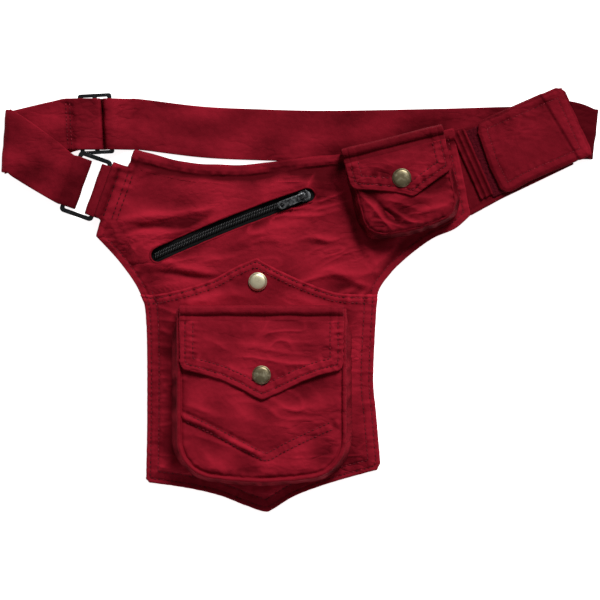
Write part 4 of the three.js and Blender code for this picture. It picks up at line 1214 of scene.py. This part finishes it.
def bellows(name, across, up, turn, **sizes):
    """A pocket whose mouth's middle lies at a place on the pouch, turned by some degrees, and its pieces."""
    pocket = SimpleNamespace(name=name, origin=on_pouch(across, up), turn=math.radians(turn), **sizes)
    pocket.half = pocket.width / 2
    pocket.middle = -0.45 * pocket.height
    pocket.base = float(seat_height(pocket, np.array([0.0]), np.array([pocket.middle]))[0]) + pocket.depth
    gusset_wall(pocket)
    pocket_front(pocket)
    if pocket.piped:
        corded_piping(pocket)
    pointed_flap(pocket)


# Rows of a seam or hem are shares of the pocket's or flap's half width and height. Creases are as in folds().
box_hem = [
    (-1, 0.6), (-0.975, 0.665), (-0.93, 0.68), (-0.72, 0.73), (-0.5, 0.79), (-0.26, 0.89), (-0.1, 0.975),
    (0, 1.02), (0.1, 0.985), (0.3, 0.9), (0.5, 0.81), (0.72, 0.735), (0.93, 0.69), (0.985, 0.665), (1, 0.6),
]
box_seam = [
    (-0.98, -0.641), (-0.58, -0.731), (-0.27, -0.811), (0.0, -0.877), (0.06, -0.887), (0.13, -0.872),
    (0.3, -0.825), (0.6, -0.755), (0.93, -0.685),
]
box_front_creases = [
    ((-0.6, -0.735), -14, 26, 2.2, -1.3), ((-0.35, -0.79), -22, 24, 2.6, 1.2), ((-0.7, -0.61), -10, 20, 3, 1),
    ((-0.6, -0.79), -12, 20, 2.2, 0.9), ((0.35, -0.6), 12, 18, 3, 1), ((0.55, -0.64), 8, 16, 2.4, -0.9),
    ((0.85, -0.77), 4, 10, 2.2, 1.1), ((-0.3, -0.6), -28, 24, 5, 0.9), ((0.2, -0.93), 5, 26, 4, 0.8),
    ((-0.65, -0.9), -35, 16, 4, 0.8), ((0.5, -0.85), 24, 22, 4, 0.8),
]
box_flap_creases = [
    ((-0.1, -0.4), 4, 26, 3.5, 1), ((0.15, -0.47), -3, 24, 2.6, 1.1), ((0.1, -0.58), -4, 24, 2.2, 1.2),
    ((-0.5, -0.42), -18, 14, 3, 0.9), ((0.4, -0.37), 8, 16, 3, 0.8), ((-0.35, -0.68), -16, 16, 2.4, 0.9),
    ((0.15, -0.27), 2, 34, 4, 0.7), ((0.45, -0.62), 14, 14, 2.4, 0.8),
]
# The box pocket's tone of 0.12 is a painted light: the same twill made paler.
bellows("box_pocket", 0.444, 0.561, 0, width=119 * mm, height=122 * mm, depth=16 * mm, corner=27 * mm,
        side_flare=7 * mm, foot_flare=6 * mm, dome=2 * mm, wrinkles=0.8 * mm, piped=True, tone=0.12, seed=100,
        flap_half=59.5 * mm, flap_length=64.5 * mm, hem_rows=box_hem, flap_creases=box_flap_creases,
        seat=patch_height, under_piece="patch_panel", seams=[box_seam], front_creases=box_front_creases)
small_hem = [
    (-1.0, 0.55), (-0.96, 0.64), (-0.9, 0.67), (-0.6, 0.75), (-0.19, 0.88), (0.0, 0.96), (0.11, 1.02),
    (0.2, 1.01), (0.4, 0.93), (0.7, 0.82), (0.93, 0.745), (0.985, 0.71), (1.0, 0.62),
]
small_front_creases = [
    ((-0.66, -0.76), -56, 20, 2.6, 2.4), ((-0.52, -0.72), -54, 18, 2.2, -1.8),
    ((-0.35, -0.93), -24, 14, 2, 1.6),
    ((-0.2, -0.84), -38, 14, 2, 1.5), ((0.02, -0.94), -14, 12, 1.8, 1.4), ((0.2, -0.86), 4, 14, 2.2, 1.2),
    ((-0.1, -0.72), -22, 18, 2.4, 1.3), ((0.5, -0.85), 10, 12, 2.4, 1.2), ((0.35, -0.7), -6, 18, 3, 0.9),
    ((-0.8, -0.75), 60, 10, 2.2, 1.3),
]
small_flap_creases = [
    ((-0.1, -0.4), 8, 22, 4, 0.8), ((0.3, -0.3), -4, 18, 3, 0.6), ((-0.5, -0.6), 10, 12, 3, 0.6),
]
# The small pocket's tone of -0.42 is a painted shade: the same twill made darker.
bellows("small_pocket", 0.793, 1.028, 14.2, width=70 * mm, height=66 * mm, depth=12 * mm, corner=16 * mm,
        side_flare=4 * mm, foot_flare=3 * mm, dome=1.5 * mm, wrinkles=0.9 * mm, piped=False, tone=-0.42,
        seed=200, flap_half=37.5 * mm, flap_length=42 * mm, hem_rows=small_hem,
        flap_creases=small_flap_creases, seat=front_height, under_piece="front_panel", seams=[],
        front_creases=small_front_creases)

# The strap and its metal. A 38 mm band of folded twill runs from the closure round the right fold, along the
# waist, through the slider, round the left fold and the ring, and back to the slider where it is sewn.
strap_span = 429 * mm
fold_radius = 2.3 * mm
right_fold_reach = 5.5 * mm
right_fold_drop = 13 * mm
slider_bar = 3.2 * mm
slider_length = 25 * mm
slider_thick = 2 * mm
ring_bar = 3.2 * mm
ring_inside = 19.5 * mm
ring_thick = 2.6 * mm
wing_turn = math.radians(24)
wing_width = 57 * mm
wing_length = 78 * mm
closure_length = 72.5 * mm
closure_width = 55.5 * mm
closure_reach = 57.4 * mm
closure_thick = 2.4 * mm
loop_thick = 1.2 * mm
border_width = 8.5 * mm
border_thick = 1.6 * mm
seam_top, seam_foot = [on_pouch(*row[:2]) for row in pouch_rows[8:10]]
wing_start = (seam_top + seam_foot) / 2
band_columns = 15
band_step = 1.1 * mm


def on_wing(along, across):
    """A place in the wing's frame, which starts at the middle of the pouch's right seam."""
    return wing_start + np.stack(turned(along, across, wing_turn), -1)


slider_centre = middle_of("strap_slider")
wing_low = strap_pitch
patch_low = wing_low + strap_thick + ply_gap
closure_low = patch_low + loop_thick + ply_gap
closure_end = closure_reach + closure_length / 2
closure_mid = closure_low + closure_thick / 2
floor_mid = strap_thick / 2
second_mid = floor_mid + strap_pitch
inner_high = second_mid + 2 * fold_radius
outer_high = inner_high + strap_pitch
slider_top = 2 * strap_pitch + slider_thick
ring_low = slider_top + ply_gap
under_ring = ring_low - ply_gap - strap_thick / 2
over_ring = ring_low + ring_thick + ply_gap + strap_thick / 2
over_slider = slider_top + ply_gap + strap_thick / 2
bar_at = (ring_inside + ring_bar) / 2


def fold(place, lean, towards, low, high, upwards, wide):
    """Stations half round a fold: the reach is the radius times the sine, the height its cosine."""
    a = np.linspace(0, np.pi, 9)
    radius = (high - low) / 2
    reach = radius * np.sin(a)
    rise = -np.cos(a) if upwards else np.cos(a)
    c, s = math.cos(math.radians(towards)), math.sin(math.radians(towards))
    z = (low + high) / 2 + radius * rise
    return [(place[0] + r * c, place[1] + r * s, h, lean, wide) for r, h in zip(reach, z)]


closure_seam = on_wing(closure_end + ply_gap, -3 * mm)
right_fold = on_wing(closure_end + right_fold_reach, -right_fold_drop)
left_x = right_fold[0] - strap_span
left_fold = np.array([left_x, waist + 0.195 * strap_width])


def near_slider(dx, z, lean=3):
    """A station beside the slider's middle."""
    return (slider_centre[0] + dx, slider_centre[1], z, lean, 1)


def on_band(t, z, lean):
    """A station at the share t of the way from the left fold to the ring, narrower towards the ring."""
    place = left_fold + t * (on_ring(-bar_at - 5.7 * mm) - left_fold)
    return (*place, z, lean, 1.16 - 0.16 * t)


def beyond_slider(z):
    """A station between the left fold and the slider."""
    x = left_x + 0.55 * (slider_centre[0] - left_x)
    return (x, left_fold[1] + 0.75 * (slider_centre[1] - left_fold[1]), z, 3, 1.1)


def beside_bar(s, z):
    """A station s to the right of the ring's left bar, seen along the tab."""
    return (*on_ring(s - bar_at), z, ring_degrees, 1)


def on_waist(along, up, lean):
    """A station of the back leg: shares of the strap's span, and of its width over the waist."""
    return (left_x + along * strap_span, waist + up * strap_width, floor_mid, lean, 1)


def round_bar(a):
    """A station at the angle a round the slider's middle bar."""
    return near_slider(bar_mid + wrap_radius * math.sin(a), wrap_z + wrap_radius * math.cos(a))


# Stations of the strap: x, y, z, the lean of its width in degrees, and a width factor.
half_slider = slider_length / 2
bar_mid = slider_bar / 2
wrap_z, wrap_radius = (over_slider + second_mid) / 2, (over_slider - second_mid) / 2
dive = bar_mid + wrap_radius + strap_thick + 2 * ply_gap
back_leg = [(0.955, 0.35, -3), (0.87, 0.379, 0), (0.74, 0.34, 0), (0.55, 0.302, 0), (0.43, 0.331, 0),
            (0.33, 0.385, 1), (0.228, 0.525, 2)]
wing_lean = math.degrees(wing_turn)
ring_degrees = math.degrees(ring_lean)
halfway = closure_seam + 0.6 * (right_fold - closure_seam)
turn_place = on_ring(-5 * mm)
dive_mid, dive_deep = (floor_mid + over_slider) / 2, over_slider - floor_mid
stations = [
    (*closure_seam, closure_mid, wing_lean, 1),
    (*halfway, closure_mid, 5, 1),
    *fold(right_fold, -6.8, -6.8, floor_mid, closure_mid, upwards=False, wide=0.98),
    *[on_waist(*row) for row in back_leg],
    near_slider(half_slider + 12 * mm, floor_mid),
    near_slider(half_slider + 5 * mm, dive_mid),
    near_slider(half_slider + 0.5 * mm, over_slider),
    near_slider(half_slider - slider_bar, over_slider),
    near_slider(dive + 1.6 * mm, floor_mid + 0.88 * dive_deep),
    near_slider(dive + 0.5 * mm, dive_mid),
    near_slider(dive - 0.6 * mm, floor_mid + 0.12 * dive_deep),
    near_slider(dive - 2.4 * mm, floor_mid),
    near_slider(-half_slider, floor_mid),
    beyond_slider(floor_mid),
    *fold(left_fold, -4.2, 175.8, floor_mid, outer_high, upwards=True, wide=1.22),
    on_band(0.3, outer_high - 0.2 * mm, -20),
    on_band(0.65, outer_high - 0.3 * mm, -24),
    on_band(1, outer_high - 0.4 * mm, ring_degrees),
    beside_bar(-2.1 * mm, over_ring),
    beside_bar(2 * mm, over_ring),
    *fold(turn_place, ring_degrees, ring_degrees, under_ring, over_ring, upwards=False, wide=1),
    beside_bar(2 * mm, under_ring),
    beside_bar(-2.3 * mm, under_ring),
    on_band(1, inner_high - 1 * mm, ring_degrees),
    on_band(0.65, inner_high - 0.4 * mm, -24),
    on_band(0.3, inner_high - 0.2 * mm, -20),
    *fold(left_fold, -4.2, 175.8, second_mid, inner_high, upwards=False, wide=1.15),
    beyond_slider(second_mid),
    near_slider(-half_slider - 10 * mm, second_mid),
    near_slider(-half_slider - 5 * mm, wrap_z),
    near_slider(-half_slider - 0.5 * mm, over_slider),
    *[round_bar(a) for a in np.linspace(0, np.pi, 7)],
    near_slider(-half_slider - 3 * mm, second_mid),
]


def ribbon(rows, width, thick, ruffle, seed):
    """A band swept through stations with round edges: across it the offset is half the width times a
    share, through it half the thickness along the normal, and soft folds run lengthwise."""
    way = curve_through(rows, 9 * len(rows))
    length = run_of(way[:, :3])
    even = np.linspace(0, length[-1], int(length[-1] / band_step))
    way = np.stack([np.interp(even, length, way[:, k]) for k in range(5)], -1)
    centre, lean, wide = way[:, :3], np.radians(way[:, 3]), way[:, 4]
    side = np.stack([-np.sin(lean), np.cos(lean), np.zeros(len(way))], -1)
    normal = np.cross(np.gradient(centre, axis=0), side)
    normal /= np.linalg.norm(normal, axis=1)[:, None]
    share = np.linspace(-1, 1, band_columns) * (1 - thick / width)
    edge_turn = np.linspace(-np.pi / 2, np.pi / 2, 6)[1:-1]
    edge = 1 - thick / width + thick / width * np.cos(edge_turn)
    across = np.concatenate([share, edge, -share, -edge])
    flat = np.ones(band_columns)
    through = np.concatenate([-flat, np.sin(edge_turn), flat, -np.sin(edge_turn)])
    run = run_of(centre)[:, None]
    over = across[None] * width
    soft = ripple(0.3 * run, over, 26 * mm, seed) + 0.25 * crumple(0.4 * run, over, 18 * mm, seed + 1)
    off = through[None] * thick / 2 + ruffle * soft
    beyond = (over / 2 * wide[:, None])[..., None]
    return centre[:, None] + side[:, None] * beyond + normal[:, None] * off[..., None], run[-1, 0]


strap_rings, strap_length = ribbon(stations, strap_width, strap_thick, ruffle=0.2 * mm, seed=301)
sx, sy = strap_rings[..., 0], strap_rings[..., 1]
# The strap's tone: slow ripples, and painted shade deepening towards its right end, at the fold there, and
# beside the ring where the band wraps its bar.
strap_tone_and_shade = 0.3 * ripple(sx, 1.6 * sy, 50 * mm, 303) - 0.15 - 0.55 * smooth(-60 * mm, 140 * mm, sx)
strap_tone_and_shade -= 0.5 * smooth(185 * mm, 205 * mm, sx)
along_tab, beside_tab = in_ring(sx, sy)
strap_tone_and_shade -= 0.8 * smooth(-26 * mm, -10 * mm, along_tab) * smooth(24 * mm, 19 * mm, np.abs(beside_tab))
strap = swept("strap_band", strap_rings, red_twill, wear_and_shade=strap_tone_and_shade)
fastened(strap, "strap")


def rows_across(rings, place, shifts):
    """Lines across the top of a band, one at each shift along it from the section nearest to a place."""
    middle = rings.mean(axis=1)
    nearest = int(np.argmin(np.linalg.norm(middle - place, axis=1)))
    first_on_top = rings[nearest, band_columns // 2, 2] > middle[nearest, 2]
    start = 0 if first_on_top else band_columns + 4
    top = rings[:, start:start + band_columns]
    return [top[nearest + int(round(shift / band_step)), 1:-1] for shift in shifts]


sewn_end = np.array([slider_centre[0] - half_slider - 8 * mm, slider_centre[1], second_mid + 1.2 * mm])
sewn("strap_end_stitches", rows_across(strap_rings, sewn_end, (-1.5 * mm, 2 * mm)), step=2.6 * mm)
softened("rectangle_ring", "rect_ring", "bag", black_metal, 0.8 * mm)
softened("three_bar_slider", "strap_slider", "bag", black_metal, 0.5 * mm)

# The ring's tab. A loop of the same twill round the ring's right bar, caught between the pouch's two panels
# and stitched through all of them in three rows.
tab_inside = 13 * mm
# The loop is painted darker all over: a painted shade beside the ring and the front's lip.
ring_loop_painted_shade = -0.35
tab_low = cloth + ply_gap + strap_thick / 2


def at_tab(s, z):
    """A station of the tab, s from the ring's middle."""
    return (*on_ring(s), z, ring_degrees, 1)


tab_stations = [
    at_tab(ring_reach + tab_inside, tab_low), at_tab(ring_reach - 4 * mm, tab_low),
    at_tab(bar_at + ring_bar / 2 + 1.5 * mm, under_ring - 0.3 * mm), at_tab(bar_at, under_ring),
    *fold(on_ring(bar_at - 2.6 * mm), ring_degrees, 180 + ring_degrees, under_ring, over_ring, upwards=True,
          wide=1),
    at_tab(bar_at + ring_bar / 2 + 0.6 * mm, over_ring),
    at_tab(ring_reach - 3 * mm, tab_low + strap_pitch + 0.5 * mm),
    at_tab(ring_reach - 1 * mm, tab_low + strap_pitch),
    at_tab(ring_reach + tab_inside, tab_low + strap_pitch),
]
tab_rings, tab_length = ribbon(tab_stations, 1.06 * tab_width, strap_thick, ruffle=0.1 * mm, seed=311)
tab = swept("ring_loop", tab_rings, red_twill, wear_and_shade=np.full(tab_rings.shape[:2], ring_loop_painted_shade))
fastened(tab, "ring_tab")

# The closure. The wing carries a ribbed border strip and a field of loop pile; the padded tab at the
# strap's end lies on it, with a stitched rectangle and a sewn band at its far end.
closure_row = 6.5 * mm


def in_wing(place):
    """The reverse of on_wing: how far a place lies along the wing, and to its left."""
    return turned(*(place - wing_start), -wing_turn)


def wing_patch(outline_rows, columns, rows):
    """A grid in the wing's frame inside four sides, each a list of (along, across)."""
    return stretched(*[evenly(np.array(side), 60) for side in outline_rows], columns, rows, 0.3)


def wing_sheet(name, grid, low, thick, detail, node, tone, material=red_twill):
    """A flat piece on the wing, its relief on top, with a tone added to its colour value: a painted shade
    where the tone is below 0.
    """
    place = on_wing(grid[..., 0], grid[..., 1])
    under = sheet_of(place, np.full(detail.shape, low))
    piece = shell(name, sheet_of(place, low + thick + detail), under, material, relief_wear_and_shade(detail) + tone)
    return fastened(piece, node)


top_along, top_across = in_wing(seam_top)
foot_along, foot_across = in_wing(seam_foot)
half_wing = wing_width / 2
wing_top = (top_along + 0.6 * mm, top_across)
wing_foot = (foot_along + 0.6 * mm, foot_across)
wing_corner = (wing_length, 1 * mm - half_wing)
wing_sides = [
    [wing_foot, (foot_along + 26 * mm, -half_wing - 0.6 * mm), wing_corner],
    [wing_corner, (wing_length, half_wing)],
    [wing_top, (top_along + 10 * mm, half_wing + 0.4 * mm), (wing_length, half_wing)],
    [wing_foot, wing_top],
]
grid = wing_patch(wing_sides, columns=90, rows=60)
from_foot, _ = beside(np.array(wing_sides[0]), grid[..., 0], grid[..., 1])
detail = 0.15 * mm * crumple(grid[..., 0], grid[..., 1], 14 * mm, 401)
detail = detail - 0.3 * mm * bell((from_foot - 3 * mm) / (0.8 * mm))
# The wing, its border strip and the closure pad are painted darker: a painted shade over the bag's right
# side.
wing = wing_sheet("wing_panel", grid, wing_low, strap_thick, detail, "belt_wing", tone=-0.65)

border_start = 6 * mm
along, across = np.meshgrid(np.linspace(0, border_width, 34),
                            np.linspace(5 * mm - half_wing, half_wing - 0.5 * mm, 70))
ribs = 0.45 * mm * np.cos(2 * np.pi * (along / border_width - 0.5) * 2)
ribs = ribs + 0.15 * mm * ripple(along, across, 9 * mm, 402)
border_grid = np.stack([border_start + along, across], -1)
# Painted shade: the border strip's tone of -0.8.
border = wing_sheet("ribbed_border", border_grid, patch_low, border_thick, ribs, "border_strip", tone=-0.8)


def pile_finish(place, wear_and_shade):
    """Loop pile: dense small tufts."""
    tufts = place.noise(900.0, 3.0, 0.7)
    return {
        "Base Color": tufts.mixed((0.02, 0.001, 0.003, 1), (0.12, 0.005, 0.012, 1)),
        "Roughness": 1.0,
        "Specular IOR Level": 0.05,
        "height": tufts * (0.8 * mm),
    }


loop_pile = painted("loop_pile_field", pile_finish)
loop_start = border_start + border_width + ply_gap
loop_end = wing_length - 3 * mm
half_loop = half_wing - 2.5 * mm
along, across = np.meshgrid(np.linspace(loop_start, loop_end, 120), np.linspace(-1, 1, 90) * half_loop)
pile = 0.22 * mm * ripple(along, across, 2.6 * mm, 403)
pile_piece = wing_sheet("loop_field", np.stack([along, across], -1), patch_low, loop_thick - 0.2 * mm, pile,
                        "loop_patch", tone=0, material=loop_pile)

closure_start = closure_reach - closure_length / 2
half_closure = closure_width / 2
# The closure's sides: millimetres from its start or end, and from its lower or upper edge.
lower_near, lower_far, upper_far, upper_near = [
    [(closure_start + 3.2 * mm, -half_closure + 1.6 * mm), (closure_start + 7 * mm, -half_closure + 0.6 * mm),
     (closure_start + 22 * mm, -half_closure + 2 * mm), (closure_end - 1.5 * mm, -half_closure + 1.5 * mm)],
    [(closure_end - 1.5 * mm, -half_closure + 1.5 * mm), (closure_end, -half_closure + 6 * mm),
     (closure_end, half_closure - 4 * mm), (closure_end - 1.5 * mm, half_closure - 1.5 * mm)],
    [(closure_start + 2.4 * mm, half_closure - 6 * mm), (closure_start + 5 * mm, half_closure - 1 * mm),
     (closure_start + 9 * mm, half_closure + 0.4 * mm), (closure_end - 4 * mm, half_closure),
     (closure_end - 1.5 * mm, half_closure - 1.5 * mm)],
    [(closure_start + 3.2 * mm, -half_closure + 1.6 * mm), (closure_start + 0.8 * mm, -half_closure + 5 * mm),
     (closure_start, -half_closure + 22 * mm), (closure_start + 2.4 * mm, half_closure - 6 * mm)],
]
closure_edge = np.concatenate([lower_near, lower_far[1:], upper_far[::-1][1:], upper_near[::-1][1:]])


def closure_detail(x, y):
    """A soft pad, a groove where the rectangle is stitched, and the sewn band across the far end."""
    away, along = beside(closure_edge, x, y)
    band = closure_end - 9.5 * mm - 0.12 * (y + half_closure)
    groove = stitch_row(away, along, closure_row, 0.25 * mm, 0.15 * mm, 411)
    step = 0.55 * mm * smooth(-1 * mm, 1.2 * mm, x - band)
    step = step - 0.5 * mm * bell((x - band + 1.4 * mm) / (0.9 * mm))
    soft = 0.3 * mm * ripple(x, y, 40 * mm, 412) + 0.25 * mm * crumple(x, y, 16 * mm, 413)
    rim = 0.15 * mm * smooth(closure_row, closure_row - 3 * mm, away) - 0.7 * mm * smooth(2.6 * mm, 0, away)
    return groove + step + soft + rim


def closure_surface(x, y):
    """The closure's top with its relief."""
    return closure_low + closure_thick + closure_detail(x, y)


grid = wing_patch([lower_near, lower_far, upper_far, upper_near], columns=130, rows=100)
detail = closure_detail(grid[..., 0], grid[..., 1])
# Painted shade: the closure pad's tone of -0.32.
closure = wing_sheet("closure_pad", grid, closure_low, closure_thick, detail, "closure_tab", tone=-0.32)
closure_lines = raised(rows_beside(closure_edge, closure_row, 300), closure_surface)
closure_lines = [np.column_stack([on_wing(line[:, 0], line[:, 1]), line[:, 2]]) for line in closure_lines]
sewn("closure_stitches", closure_lines, step=2.2 * mm, sink=0.24 * mm)
